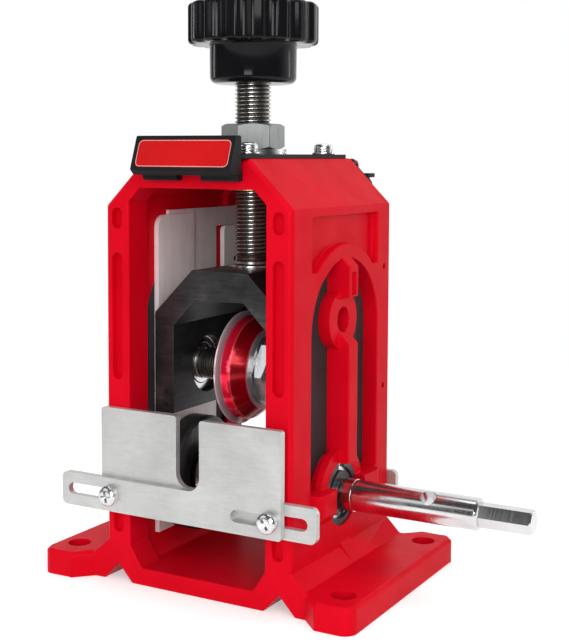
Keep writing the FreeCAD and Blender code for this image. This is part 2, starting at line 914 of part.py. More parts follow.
def drive_shaft():
    radius = shaft_radius
    edge = shaft_chamfer
    start = shaft_left_end
    end = shaft_shoulder
    seat = crank_seat_radius
    body = turned_x([
        (0, start), (radius - edge, start), (radius, start + edge), (radius, crank_seat_start),
        (seat, crank_seat_start), (seat, end - edge), (seat - edge, end), (0, end),
    ], 0, shaft_z)
    body = body.cut([clip_groove(radius, x) for x in shaft_clip_places()])
    body = body.fuse(hex_end())
    tilt = math.radians(cross_hole_tilt)
    direction = vec(0, -math.cos(tilt), math.sin(tilt))
    middle = vec(cross_hole_x, 0, shaft_z)
    reach = shaft_diameter
    hole = Part.makeCylinder(cross_hole_diameter / 2, 2 * reach, middle - direction * reach, direction)
    return body.cut(hole).removeSplitter()


def shaft_clips():
    clips = []
    for x in shaft_clip_places():
        ring = disc_x(shaft_radius + clip_rise, x, x + clip_thickness, 0, shaft_z)
        inner = shaft_radius - clip_groove_depth
        ring = ring.cut(disc_x(inner, x - 1, x + clip_thickness + 1, 0, shaft_z))
        half = shaft_clip_mouth / 2
        mouth = block(x - 1, x + clip_thickness + 1, -half, half, shaft_z - far, shaft_z)
        clips.append(ring.cut(mouth))
    return group(clips)


def bore_clips():
    """Rings that hold both bearings in their bores."""
    clips = []
    for start in (left_bearing_x, right_bearing_x):
        x = start + shaft_bearing_width
        ring = disc_x(shaft_bearing_radius, x, x + clip_thickness, 0, shaft_z)
        ring = ring.cut(disc_x(bore_clip_inner, x - 1, x + clip_thickness + 1, 0, shaft_z))
        half = bore_clip_mouth / 2
        mouth = block(x - 1, x + clip_thickness + 1, -half, half, shaft_z, shaft_z + far)
        clips.append(ring.cut(mouth))
    return group(clips)


def feed_roller():
    half = roller_length / 2
    edge = roller_chamfer
    body = turned_x([
        (shaft_radius, -half), (roller_radius - edge, -half), (roller_radius, -half + edge),
        (roller_radius, half - edge), (roller_radius - edge, half), (shaft_radius, half),
    ], 0, shaft_z)
    for x in roller_screw_places():
        body = body.cut(disc_z(m4_diameter / 2, shaft_z, shaft_z + far, x))
    return body


def roller_screw_places():
    offset = roller_length / 2 - 6
    return (-offset, offset)


def roller_set_screws():
    screws = []
    for x in roller_screw_places():
        low = shaft_z + shaft_radius
        high = shaft_z + roller_radius - 1.2
        screw = disc_z(m4_diameter / 2, low, high, x)
        socket = prism_z([(x + u, v, 0) for u, v in hexagon(2.0, 0)], high - 2, high + 1)
        screws.append(screw.cut([socket, disc_x(shaft_radius, -far, far, 0, shaft_z)]))
    return group(screws)


def spacers():
    """Sleeves between the roller and the bearings' inner rings."""
    half = roller_length / 2
    left_end = left_bearing_x + shaft_bearing_width
    sleeves = []
    for low, high in ((left_end, -half), (half, right_bearing_x)):
        sleeve = disc_x(spacer_radius, low, high, 0, shaft_z)
        sleeves.append(sleeve.cut(disc_x(shaft_radius, -far, far, 0, shaft_z)))
    return group(sleeves)


# Yoke group


def yoke():
    outer = yoke_half_width
    inner = yoke_inner
    outer_cut = outer - yoke_flat
    inner_cut = inner - yoke_inner_flat
    top = yoke_top
    roof = yoke_inner_top
    half = yoke_depth / 2
    body = prism_y(sharp([
        (-outer, yoke_bottom), (-inner, yoke_bottom), (-inner, roof - inner_cut),
        (-yoke_inner_flat, roof), (yoke_inner_flat, roof), (inner, roof - inner_cut),
        (inner, yoke_bottom), (outer, yoke_bottom), (outer, top - outer_cut),
        (yoke_flat, top), (-yoke_flat, top), (-outer, top - outer_cut),
    ]), -half, half)
    body = body.cut(disc_x(axle_seat_lip, -far, far, 0, axle_z))
    seat = disc_x(axle_bearing_radius, outer - axle_bearing_width, far, 0, axle_z)
    body = body.cut([seat, mirrored_x(seat)])
    body = body.cut(disc_z(neck_radius + neck_clearance, roof - 1, top + 1))
    return body.cut([disc_y(yoke_screw_diameter / 2, y0, y1, x, z) for x, z, y0, y1 in yoke_screw_holes()])


def yoke_screw_holes():
    half = yoke_depth / 2
    holes = []
    for sign in (-1, 1):
        for z in yoke_screw_z:
            holes.append((sign * yoke_screw_x, z, -half - 1, -half + yoke_screw_depth))
    return holes


def yoke_set_screws():
    screws = []
    half = yoke_depth / 2
    for x, z, y0, y1 in yoke_screw_holes():
        face = -half + yoke_screw_sunk
        screw = disc_y(yoke_screw_diameter / 2, face, y1, x, z)
        corners = [(x + u, z + v, 0) for u, v in hexagon(yoke_socket_flats, 0)]
        socket = prism_y(corners, y0, face + yoke_socket_depth)
        screws.append(screw.cut(socket))
    return group(screws)


def axle_bearing_places():
    width = axle_bearing_width
    return (-yoke_half_width, yoke_half_width - width)


def blade_axle():
    end = yoke_half_width
    edge = axle_chamfer
    radius = axle_radius
    return turned_x([
        (0, -end), (radius - edge, -end), (radius, -end + edge), (radius, end - edge),
        (radius - edge, end), (0, end),
    ], 0, axle_z)


def cutting_blade():
    """Wheel with a flat back, a bevelled cutting edge, a rim and a cone up to its hub."""
    edge = blade_edge_x
    land = blade_edge_land / 2
    bore = axle_radius
    return turned_x([
        (bore, edge - blade_back_rise), (blade_back_radius, edge - blade_back_rise),
        (blade_radius, edge - land), (blade_radius, edge + land),
        (blade_bevel_radius, edge + blade_bevel_rise), (blade_drum_radius, edge + blade_drum_rise),
        (blade_hub_radius, edge + blade_hub_rise), (bore, edge + blade_hub_rise),
    ], 0, axle_z)


def blade_washer():
    start = blade_edge_x + blade_hub_rise
    shape = washer(blade_washer_radius, axle_radius, blade_washer_thickness)
    return along_x(shape, start, 0, axle_z)


def blade_nut():
    start = blade_edge_x + blade_hub_rise + blade_washer_thickness
    shape = nut_blank(blade_nut_flats, blade_nut_height, blade_nut_turn)
    shape = shape.cut(disc_z(axle_radius, -1, blade_nut_height + 1))
    return along_x(shape, start, 0, axle_z)


# Adjusting screw group


def neck_clip_low():
    return yoke_inner_top - clip_thickness - neck_clip_gap


def adjusting_screw():
    radius = screw_radius
    edge = screw_chamfer
    low = neck_clip_low()
    foot_z = low - neck_foot
    groove = neck_radius - neck_groove_depth
    body = turned_z([
        (0, foot_z), (neck_radius - neck_chamfer, foot_z), (neck_radius, foot_z + neck_chamfer),
        (neck_radius, low), (groove, low), (groove, low + clip_thickness),
        (neck_radius, low + clip_thickness), (neck_radius, screw_foot),
        (radius - edge, screw_foot), (radius, screw_foot + edge),
        (radius, screw_top - edge), (radius - edge, screw_top), (0, screw_top),
    ])
    return body


def neck_clip():
    low = neck_clip_low()
    ring = disc_z(neck_radius + clip_rise, low, low + clip_thickness)
    ring = ring.cut(disc_z(neck_radius - neck_groove_depth, low - 1, low + clip_thickness + 1))
    half = neck_clip_mouth / 2
    mouth = block(-half, half, -far, 0, low - 1, low + clip_thickness + 1)
    return ring.cut(mouth)


def thrust_washer():
    shape = washer(thrust_washer_radius, neck_radius + neck_clearance, thrust_washer_thickness)
    return placed(shape, 0, 0, yoke_top)


def thread_bush():
    bore = screw_diameter / 2
    low = cavity_top - bush_flange_thickness
    return turned_z([
        (bore, low), (bush_flange_radius, low), (bush_flange_radius, cavity_top),
        (bush_radius, cavity_top), (bush_radius, frame_height), (bore, frame_height),
    ])


def lock_nut():
    shape = nut_blank(lock_nut_flats, lock_nut_height, 0)
    shape = shape.cut(disc_z(screw_diameter / 2, -1, lock_nut_height + 1))
    shape.rotate(vec(0, 0, 0), vec(0, 0, 1), lock_nut_turn)
    return placed(shape, 0, 0, nut_bottom)


def lock_washer():
    shape = washer(lock_washer_radius, screw_diameter / 2 + screw_hole_gap, lock_washer_thickness)
    return placed(shape, 0, 0, plate_top)


def knob_profile(z, radius, height, rounding):
    return [
        (0, z), (radius - rounding, z), (radius - rounding * 0.3, z + rounding * 0.3),
        (radius, z + rounding), (radius, z + height - rounding),
        (radius - rounding * 0.3, z + height - rounding * 0.3), (radius - rounding, z + height),
        (0, z + height),
    ]


def adjusting_knob():
    rim = turned_z(knob_profile(knob_rim_bottom, knob_radius, knob_rim_height, knob_rim_round))
    scallops = []
    centre = knob_radius + knob_scallop_radius - knob_scallop_bite
    for index in range(knob_lobes):
        angle = 2 * math.pi * index / knob_lobes
        scallops.append(disc_z(knob_scallop_radius, knob_rim_bottom - 1, knob_top + 1,
                               centre * math.cos(angle), centre * math.sin(angle)))
    rim = rim.cut(scallops)
    hub_height = knob_rim_bottom - knob_hub_bottom
    hub_profile = knob_profile(knob_hub_bottom, knob_hub_radius, 2 * hub_height, knob_hub_round)
    hub = turned_z(hub_profile).common(disc_z(knob_hub_radius + 1, knob_hub_bottom - 1, knob_rim_bottom + 2))
    body = rim.fuse(hub)
    body = body.cut(disc_z(knob_dish_radius, knob_top - knob_dish_depth, knob_top + 1))
    cap_seat = knob_top - knob_dish_depth - knob_cap_thickness
    body = body.cut(disc_z(knob_cap_radius, cap_seat, knob_top))
    insert_low = knob_hub_bottom + knob_insert_low
    body = body.cut(disc_z(knob_insert_radius, insert_low, cap_seat - knob_insert_cover))
    return body.cut(disc_z(screw_radius, knob_hub_bottom - 1, cap_seat)).removeSplitter()


def knob_insert():
    cap_seat = knob_top - knob_dish_depth - knob_cap_thickness
    insert_low = knob_hub_bottom + knob_insert_low
    body = disc_z(knob_insert_radius, insert_low, cap_seat - knob_insert_cover)
    return body.cut(disc_z(screw_radius, knob_hub_bottom, cap_seat))


def knob_cap():
    low = knob_top - knob_dish_depth - knob_cap_thickness
    return disc_z(knob_cap_radius, low, low + knob_cap_thickness + knob_cap_proud)


# Top plate and sign


def top_plate():
    corner = top_plate_corner
    width = top_plate_half_width
    body = prism_z([
        (-width, top_plate_front, corner), (width, top_plate_front, corner),
        (width, top_plate_back, corner), (-width, top_plate_back, corner),
    ], frame_height, plate_top)
    holes = [disc_z(screw_diameter / 2 + screw_hole_gap, 0, far)]
    for x in (-top_screw_x, top_screw_x):
        for y in (-top_screw_y, top_screw_y):
            holes.append(disc_z(m4_hole_diameter / 2, 0, far, x, y))
    return body.cut(holes)


def top_stack():
    """Screws, split washers and flat washers that hold the top plate."""
    screws = []
    splits = []
    flats = []
    bore = m4_hole_diameter / 2
    split_low = plate_top + flat_washer_thickness
    seat = split_low + split_washer_thickness
    length = seat - frame_height + m4_grip
    for x in (-top_screw_x, top_screw_x):
        for y in (-top_screw_y, top_screw_y):
            flats.append(placed(washer(flat_washer_radius, bore, flat_washer_thickness), x, y, plate_top))
            ring = split_washer(split_washer_radius, bore, split_washer_thickness)
            splits.append(placed(ring, x, y, split_low))
            screw = pan_screw(m4_diameter, screw_head_radius, screw_head_height, length)
            screw.rotate(vec(0, 0, 0), vec(0, 0, 1), top_screw_turn)
            screws.append(placed(screw, x, y, seat))
    return group(screws), group(splits), group(flats)


def sign_recess(shrink, depth, height):
    """Block on the sloping face, inset from the housing's edge, from depth up to height."""
    slope = vec(0, sign_front_top - sign_front_bottom, sign_top - sign_face_bottom)
    up = slope.normalize()
    across = vec(1, 0, 0)
    outward = across.cross(up)
    full = math.hypot(sign_front_top - sign_front_bottom, sign_top - sign_face_bottom)
    inset = sign_frame + shrink
    wide = sign_half_width - inset
    corners = [
        (-wide, inset, sign_corner), (wide, inset, sign_corner),
        (wide, full - inset, sign_corner), (-wide, full - inset, sign_corner),
    ]
    back = vec(0, sign_front_bottom, sign_face_bottom) - outward * depth
    wire = outline(corners, lambda u, v: back + across * u + up * v)
    return Part.Face(wire).extrude(outward * (depth + height))


def sign_housing():
    body = prism_x(sharp([
        (sign_front_bottom, sign_face_bottom), (sign_front_bottom + sign_lip, sign_bottom),
        (sign_back_y, sign_bottom), (sign_back_y, sign_top), (sign_front_top, sign_top),
    ]), -sign_half_width, sign_half_width)
    body = body.cut(sign_recess(0.0, sign_insert_depth, 1.0))
    half = sign_half_width * sign_tab_share
    tab = block(-half, half, sign_back_y, front_y, sign_bottom, frame_height - edge_break - sign_tab_gap)
    foot_end = sign_bottom - sign_foot_drop
    foot_front = sign_back_y - sign_lip
    feet = [
        block(-sign_foot_outer, sign_foot_left_inner, foot_front, front_y, foot_end, sign_face_bottom),
        block(sign_foot_right_inner, sign_foot_outer, foot_front, front_y, foot_end, sign_face_bottom),
    ]
    gap = sign_plate_gap
    seat = block(-far, far, top_plate_front - gap, far, frame_height - gap, plate_top + gap)
    return body.fuse([tab] + feet).cut(seat).removeSplitter()


def sign_insert():
    return sign_recess(sign_insert_gap, sign_insert_depth, -sign_insert_sunk)


# Guide plates at the inlet


def guide_outline(tongue_end, blade_end, blade_start):
    """L outline from the tongue's end to the tall blade, as (x, z, radius)."""
    return [
        (tongue_end, guide_bottom, guide_tongue_corner), (blade_end, guide_bottom, guide_corner),
        (blade_end, guide_top, guide_corner), (blade_start, guide_top, guide_corner),
        (blade_start, guide_band_top, guide_notch_radius),
        (tongue_end, guide_band_top, guide_tongue_corner),
    ]


def guide_plate(tongue_end, blade_end, blade_start, slots, y0):
    corners = guide_outline(tongue_end, blade_end, blade_start)
    if tongue_end > blade_end:
        corners.reverse()
    body = prism_y(corners, y0, y0 + guide_thickness)
    half = guide_slot_width / 2
    for x0, x1 in slots:
        body = body.cut(slot_y(x0, x1, shaft_z - half, shaft_z + half, y0 - 1, y0 + guide_thickness + 1))
    return body


def guide_plates():
    inner_y = front_y - guide_gap - guide_thickness
    outer_y = inner_y - guide_gap - guide_thickness
    front = guide_plate(front_plate_left, front_plate_right, front_blade_left,
                        (front_near_slot, front_far_slot), outer_y)
    rear = guide_plate(rear_plate_right, rear_plate_left, rear_blade_right,
                       (rear_near_slot, rear_far_slot), inner_y)
    return front, rear, outer_y


def guide_screws(outer_y):
    screws = []
    rings = []
    seat = outer_y - guide_gap - split_washer_thickness
    length = front_y + m4_grip - seat
    for x, turn in zip((-guide_screw_x, guide_screw_x), guide_screw_turns):
        ring = washer(split_washer_radius, m4_hole_diameter / 2, split_washer_thickness)
        rings.append(along_y(ring, x, seat, shaft_z, True))
        screw = pan_screw(m4_diameter, screw_head_radius, screw_head_height, length)
        screw.rotate(vec(0, 0, 0), vec(0, 0, 1), turn)
        screws.append(along_y(screw, x, seat, shaft_z, False))
    return group(screws), group(rings)


# Outlet side


def wire_rest():
    corner = guide_tongue_corner
    body = prism_y([
        (-rest_half_width, rest_bottom, corner), (rest_half_width, rest_bottom, corner),
        (rest_half_width, rest_top, corner), (-rest_half_width, rest_top, corner),
    ], rear_y, rear_y + rest_thickness)
    holes = [disc_y(m4_hole_diameter / 2, 0, far, x, rest_middle) for x in (-guide_screw_x, guide_screw_x)]
    return body.cut(holes)


def rest_screws():
    seat = rear_y + rest_thickness
    screw = pan_screw(m4_diameter, screw_head_radius, screw_head_height, rest_thickness + m4_grip)
    return group([along_y(screw, x, seat, rest_middle, True) for x in (-guide_screw_x, guide_screw_x)])


def cover_screw_places():
    places = [(sign * cover_screw_x, cover_screw_z) for sign in (-1, 1)]
    places += [(sign * cover_ear_screw_x, cover_ear_screw_z) for sign in (-1, 1)]
    return places


def rear_cover():
    """Bent sheet that closes the outlet's upper part, with a short hood on top."""
    half = cover_half_width
    ear = cover_ear_half_width
    ear_top = cover_bottom + cover_ear_height
    hood = cover_hood_half_width
    low_hood = cover_hood_z - cover_step
    corner = cover_corner
    shoulder_z = frame_height - (hood - (side_x - shoulder)) - cover_edge_gap
    crest = hood - (cover_top - shoulder_z)
    plate = prism_y([
        (-ear, cover_bottom, corner), (ear, cover_bottom, corner), (ear, ear_top, corner),
        (half, ear_top, 0), (half, low_hood, 0), (hood, cover_hood_z, 0),
        (hood, shoulder_z, 0), (crest, cover_top, 0), (-crest, cover_top, 0),
        (-hood, shoulder_z, 0), (-hood, cover_hood_z, 0), (-half, low_hood, 0),
        (-half, ear_top, 0), (-ear, ear_top, corner),
    ], rear_y, rear_y + cover_thickness)
    brim = block(-hood, hood, rear_y + cover_thickness, rear_y + cover_hood_reach,
                 cover_hood_z, cover_hood_z + cover_thickness)
    holes = [disc_y(m3_diameter / 2 + head_gap, 0, far, x, z) for x, z in cover_screw_places()]
    return plate.fuse(brim).cut(holes).removeSplitter()


def cover_screws():
    seat = rear_y + cover_thickness
    screw = pan_screw(m3_diameter, cover_screw_head, m3_head_height, cover_thickness + cover_screw_grip)
    return group([along_y(screw, x, seat, z, True) for x, z in cover_screw_places()])


def main():
    os.makedirs("parts", exist_ok=True)
    save(frame_casting(), "frame_casting")
    panel = side_panel()
    save(panel, "side_panel_right")
    save(mirrored_x(panel), "side_panel_left")
    strip = rear_strip()
    save(strip, "rear_strip_right")
    save(mirrored_x(strip), "rear_strip_left")
    save(strip_screws(), "rear_strip_screws")
    sheet = liner()
    save(sheet, "guide_liner_right")
    save(mirrored_x(sheet), "guide_liner_left")
    save(right_carrier(), "bearing_carrier_right")
    save(left_carrier(), "bearing_carrier_left")
    save(carrier_screws(), "carrier_screws")
    for side, x in (("left", left_bearing_x), ("right", right_bearing_x)):
        outer, inner = bearing_rings(shaft_bearing_radius, shaft_radius, shaft_bearing_width, x, shaft_z)
        save(outer, "shaft_bearing_outer_" + side)
        save(inner, "shaft_bearing_inner_" + side)
    save(bore_clips(), "bore_retaining_rings")
    save(drive_shaft(), "drive_shaft")
    save(shaft_clips(), "shaft_retaining_rings")
    save(feed_roller(), "feed_roller")
    save(roller_set_screws(), "roller_set_screws")
    save(spacers(), "roller_spacers")
    save(yoke(), "blade_yoke")
    save(yoke_set_screws(), "yoke_set_screws")
    outers = []
    inners = []
    for x in axle_bearing_places():
        outer, inner = bearing_rings(axle_bearing_radius, axle_radius, axle_bearing_width, x, axle_z)
        outers.append(outer)
        inners.append(inner)
    save(group(outers), "axle_bearing_outer_rings")
    save(group(inners), "axle_bearing_inner_rings")
    save(blade_axle(), "blade_axle")
    save(cutting_blade(), "cutting_blade")
    save(blade_washer(), "blade_washer")
    save(blade_nut(), "blade_nut")
    save(adjusting_screw(), "adjusting_screw")
    save(neck_clip(), "neck_retaining_ring")
    save(thrust_washer(), "thrust_washer")
    save(thread_bush(), "thread_bush")
    save(lock_nut(), "lock_nut")
    save(lock_washer(), "lock_nut_washer")
    save(adjusting_knob(), "adjusting_knob")
    save(knob_insert(), "knob_insert")
    save(knob_cap(), "knob_cap")
    save(top_plate(), "top_plate")
    screws, splits, flats = top_stack()
    save(screws, "top_plate_screws")
    save(splits, "top_split_washers")
    save(flats, "top_flat_washers")
    save(sign_housing(), "sign_housing")
    save(sign_insert(), "sign_insert")
    front, rear_plate, outer_y = guide_plates()
    save(front, "guide_plate_front")
    save(rear_plate, "guide_plate_rear")
    screws, rings = guide_screws(outer_y)
    save(screws, "guide_screws")
    save(rings, "guide_screw_washers")
    save(wire_rest(), "wire_rest")
    save(rest_screws(), "wire_rest_screws")
    save(rear_cover(), "rear_cover")
    save(cover_screws(), "rear_cover_screws")


main()
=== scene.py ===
import json
import math

import bmesh
import bpy
from mathutils import Matrix, Vector


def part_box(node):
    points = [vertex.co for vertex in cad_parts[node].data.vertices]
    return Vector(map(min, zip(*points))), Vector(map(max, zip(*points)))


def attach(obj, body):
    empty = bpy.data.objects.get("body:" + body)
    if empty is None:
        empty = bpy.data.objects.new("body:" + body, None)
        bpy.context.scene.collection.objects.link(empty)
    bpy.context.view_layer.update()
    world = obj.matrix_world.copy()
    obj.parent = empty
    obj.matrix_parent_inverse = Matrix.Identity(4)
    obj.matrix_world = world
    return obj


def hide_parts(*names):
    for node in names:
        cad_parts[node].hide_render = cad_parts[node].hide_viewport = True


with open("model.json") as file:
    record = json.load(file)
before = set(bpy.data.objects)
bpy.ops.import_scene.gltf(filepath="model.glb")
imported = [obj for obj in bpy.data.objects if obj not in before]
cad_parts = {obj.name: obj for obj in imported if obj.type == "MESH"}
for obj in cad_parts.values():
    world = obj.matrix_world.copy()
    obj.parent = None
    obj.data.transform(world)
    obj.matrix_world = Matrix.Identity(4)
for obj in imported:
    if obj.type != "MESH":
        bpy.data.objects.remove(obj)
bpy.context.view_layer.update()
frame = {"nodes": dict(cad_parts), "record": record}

MM = 0.001

# Camera at the photograph's viewpoint, in millimetres, degrees and pixels
EYE = (241.1, -403.5, 160.3)
YAW = 29.38
PITCH = 4.34
ROLL = 0.26
FOCAL_PX = 1231.4
FRAME_LONG_PX = 644
OPTIC_AXIS_Y_PX = 247.0
SENSOR = 36.0

# Sizes of the visual pieces, in millimetres
THREAD_PITCH = 1.5
THREAD_DEPTH = 0.92
THREAD_STEPS = 60
THREAD_PROFILE = [(0.0, 0.0), (0.10, 0.0), (0.42, 1.0), (0.58, 1.0), (0.90, 0.0)]
ROD_ROOT_RADIUS = 6.0
ROD_CREST_RADIUS = 6.94
AXLE_Z = 78.0
AXLE_ROOT_RADIUS = 5.3
AXLE_CREST_RADIUS = 6.0
AXLE_THREAD_PITCH = 1.25
AXLE_THREAD_DEPTH = 0.7
KNOB_LOBES = 16
KNOB_STEPS = 14
KNURL_PITCH = 1.15
KNURL_DEPTH = 0.4
KNOB_RIM_HEIGHT = 15.5
KNOB_RIM_ROUNDING = 1.8
KNOB_HUB_RADIUS = 16.4
KNOB_HUB_CORNER = 2.6
KNOB_BORE_RADIUS = 7.1
KNOB_DISH_RADIUS = 17.0
KNOB_DISH_DEPTH = 2.0
KNOB_BITE_RADIUS = 3.4
KNOB_BITE_DEPTH = 1.55
SHAFT_RADIUS = 6.0
M4_HEAD_HEIGHT = 2.5
M4_SHANK_RADIUS = 2.0
M3_HEAD_HEIGHT = 1.8
M3_SHANK_RADIUS = 1.5
AXIS_HOLE_RADIUS = 0.05
WELD_DISTANCE = 0.002

# Distances from the object's middle to faces with a material of their own, in millimetres
PAD_FACE_X = 29.0
CAVITY_WALL_X = 31.0
HEXAGON_START_X = 93.5
FACE_TOLERANCE = 0.1

# Floor, background and lights, in metres and watts: name, place, width, height, power
FLOOR_RADIUS = 0.5
FLOOR_GLOW = 0.40
WORLD_FILL = 0.52
REFLECTED_TONES = ((0.55, 0.05), (0.68, 0.30), (0.80, 1.0))
LIGHTS_AIM = (0.0, 0.0, 0.09)
SOFTBOXES = (
    ("key_right", (0.95, -0.95, 0.70), 0.7, 0.7, 7.0),
    ("front", (0.38, -1.20, 0.26), 0.45, 0.45, 4.6),
    ("fill_left", (-0.80, -1.00, 0.60), 0.8, 0.8, 2.2),
    ("overhead", (0.1, 0.1, 1.3), 0.9, 0.9, 5.0),
    ("strip_left", (-1.15, 0.10, 0.22), 0.10, 0.6, 0.8),
    ("strip_right", (0.72, 0.92, 0.22), 0.10, 0.6, 0.8),
)


# Node helpers for materials


class Shader:
    """A new material with short calls for the nodes that this scene uses."""

    def __init__(self, name):
        self.material = bpy.data.materials.new(name)
        self.material.use_nodes = True
        self.tree = self.material.node_tree
        self.bsdf = self.tree.nodes["Principled BSDF"]
        self.coords = self.node("ShaderNodeTexCoord").outputs["Object"]

    def node(self, kind):
        return self.tree.nodes.new(kind)

    def link(self, source, target):
        self.tree.links.new(source, target)

    def put(self, socket, value):
        self.bsdf.inputs[socket].default_value = value

    def stretched(self, scale):
        mapping = self.node("ShaderNodeMapping")
        mapping.inputs["Scale"].default_value = scale
        self.link(self.coords, mapping.inputs["Vector"])
        return mapping.outputs["Vector"]

    def noise(self, scale, detail=3.0, rough=0.5, vector=None):
        noise = self.node("ShaderNodeTexNoise")
        noise.inputs["Scale"].default_value = scale
        noise.inputs["Detail"].default_value = detail
        noise.inputs["Roughness"].default_value = rough
        self.link(vector or self.coords, noise.inputs["Vector"])
        return noise.outputs["Fac"]

    def ramp(self, value, stops):
        ramp = self.node("ShaderNodeValToRGB")
        elements = ramp.color_ramp.elements
        while len(elements) < len(stops):
            elements.new(0.5)
        for element, (place, colour) in zip(elements, stops):
            element.position = place
            element.color = (*colour, 1.0)
        self.link(value, ramp.inputs["Fac"])
        return ramp.outputs["Color"]

    def spread(self, value, low, high, start=0.3, end=0.7):
        span = self.node("ShaderNodeMapRange")
        span.inputs["From Min"].default_value = start
        span.inputs["From Max"].default_value = end
        span.inputs["To Min"].default_value = low
        span.inputs["To Max"].default_value = high
        self.link(value, span.inputs["Value"])
        return span.outputs["Result"]

    def math(self, operation, first, second):
        node = self.node("ShaderNodeMath")
        node.operation = operation
        for socket, value in zip(node.inputs, (first, second)):
            if isinstance(value, (int, float)):
                socket.default_value = value
            else:
                self.link(value, socket)
        return node.outputs["Value"]

    def blend(self, first, first_share, second, second_share):
        return self.math("ADD", self.math("MULTIPLY", first, first_share),
                         self.math("MULTIPLY", second, second_share))

    def axes(self):
        split = self.node("ShaderNodeSeparateXYZ")
        self.link(self.coords, split.inputs["Vector"])
        return split.outputs

    def colour(self, value):
        self.link(value, self.bsdf.inputs["Base Color"])

    def roughness(self, value):
        self.link(value, self.bsdf.inputs["Roughness"])

    def bump(self, height, distance, strength):
        bump = self.node("ShaderNodeBump")
        bump.inputs["Distance"].default_value = distance
        bump.inputs["Strength"].default_value = strength
        self.link(height, bump.inputs["Height"])
        if self.bsdf.inputs["Normal"].links:
            self.link(self.bsdf.inputs["Normal"].links[0].from_socket, bump.inputs["Normal"])
        self.link(bump.outputs["Normal"], self.bsdf.inputs["Normal"])


def red_paint(name, low, high, gloss):
    """Satin powder coat: a faint mottle, orange peel and uneven gloss."""
    shader = Shader(name)
    mottle = shader.noise(38.0, 4.0)
    shader.colour(shader.ramp(mottle, [(0.3, low), (0.7, high)]))
    shader.roughness(shader.spread(shader.noise(90.0, 4.0), 0.33, 0.46))
    shader.put("Specular IOR Level", gloss)
    shader.bump(shader.noise(950.0, 2.0), 0.00004, 0.35)
    shader.bump(shader.noise(60.0, 2.0), 0.0002, 0.18)
    return shader.material


def black_sheet(name, low, high):
    shader = Shader(name)
    grain = shader.noise(1400.0, 2.0)
    shader.colour(shader.ramp(shader.noise(60.0), [(0.3, low), (0.7, high)]))
    shader.roughness(shader.spread(grain, 0.5, 0.64))
    shader.put("Specular IOR Level", 0.14)
    shader.bump(grain, 0.00005, 0.3)
    return shader.material


def black_oxide():
    """Blackened steel with milling streaks and a few rubbed grey patches."""
    shader = Shader("black_oxide")
    patches = shader.noise(55.0, 6.0, 0.62)
    streaks = shader.noise(1.0, 3.0, 0.6, shader.stretched((90.0, 90.0, 900.0)))
    tone = shader.blend(patches, 0.7, streaks, 0.3)
    stops = [(0.36, (0.030, 0.031, 0.033)), (0.55, (0.062, 0.062, 0.064)),
             (0.74, (0.15, 0.145, 0.14))]
    shader.colour(shader.ramp(tone, stops))
    shader.put("Metallic", 0.75)
    shader.roughness(shader.spread(patches, 0.34, 0.52))
    shader.bump(streaks, 0.00003, 0.4)
    return shader.material


def rubbed_edge():
    shader = Shader("rubbed_edge")
    worn = shader.noise(260.0, 4.0, 0.6)
    shader.colour(shader.ramp(worn, [(0.4, (0.10, 0.10, 0.10)), (0.62, (0.42, 0.41, 0.40))]))
    shader.put("Metallic", 0.9)
    shader.roughness(shader.spread(worn, 0.45, 0.3))
    return shader.material


def brushed(name, low, high, scale, rough, metallic=1.0):
    """Metal with fine lines along the axis whose scale is smallest."""
    shader = Shader(name)
    lines = shader.noise(1.0, 3.0, 0.6, shader.stretched(scale))
    cloud = shader.noise(70.0, 4.0, 0.55)
    tone = shader.blend(lines, 0.5, cloud, 0.5)
    shader.colour(shader.ramp(tone, [(0.35, low), (0.65, high)]))
    shader.put("Metallic", metallic)
    shader.roughness(shader.spread(tone, rough - 0.05, rough + 0.07))
    shader.bump(lines, 0.00002, 0.35)
    return shader.material


def zinc_sheet():
    """Bright zinc: soft cloudy patches, a fine grain and light scuffs."""
    shader = Shader("zinc_sheet")
    cloud = shader.noise(42.0, 6.0, 0.6)
    scuff = shader.noise(1.0, 4.0, 0.7, shader.stretched((160.0, 160.0, 1300.0)))
    grain = shader.noise(2200.0, 2.0)
    tone = shader.blend(cloud, 0.65, scuff, 0.35)
    shader.colour(shader.ramp(tone, [(0.34, (0.46, 0.465, 0.45)), (0.66, (0.66, 0.665, 0.655))]))
    shader.put("Metallic", 0.6)
    shader.roughness(shader.spread(tone, 0.34, 0.5))
    shader.bump(grain, 0.00002, 0.3)
    shader.bump(cloud, 0.00035, 0.12)
    return shader.material


def turned_steel(name, low, high, axis, rough):
    """Lathe-turned metal: fine rings across the named axis."""
    shader = Shader(name)
    scale = [12.0, 12.0, 12.0]
    scale["XYZ".index(axis)] = 2400.0
    rings = shader.noise(1.0, 2.0, 0.5, shader.stretched(scale))
    cloud = shader.noise(110.0, 3.0)
    shader.colour(shader.ramp(cloud, [(0.3, low), (0.7, high)]))
    shader.put("Metallic", 1.0)
    shader.roughness(shader.spread(rings, rough - 0.04, rough + 0.06))
    shader.bump(rings, 0.000012, 0.35)
    return shader.material


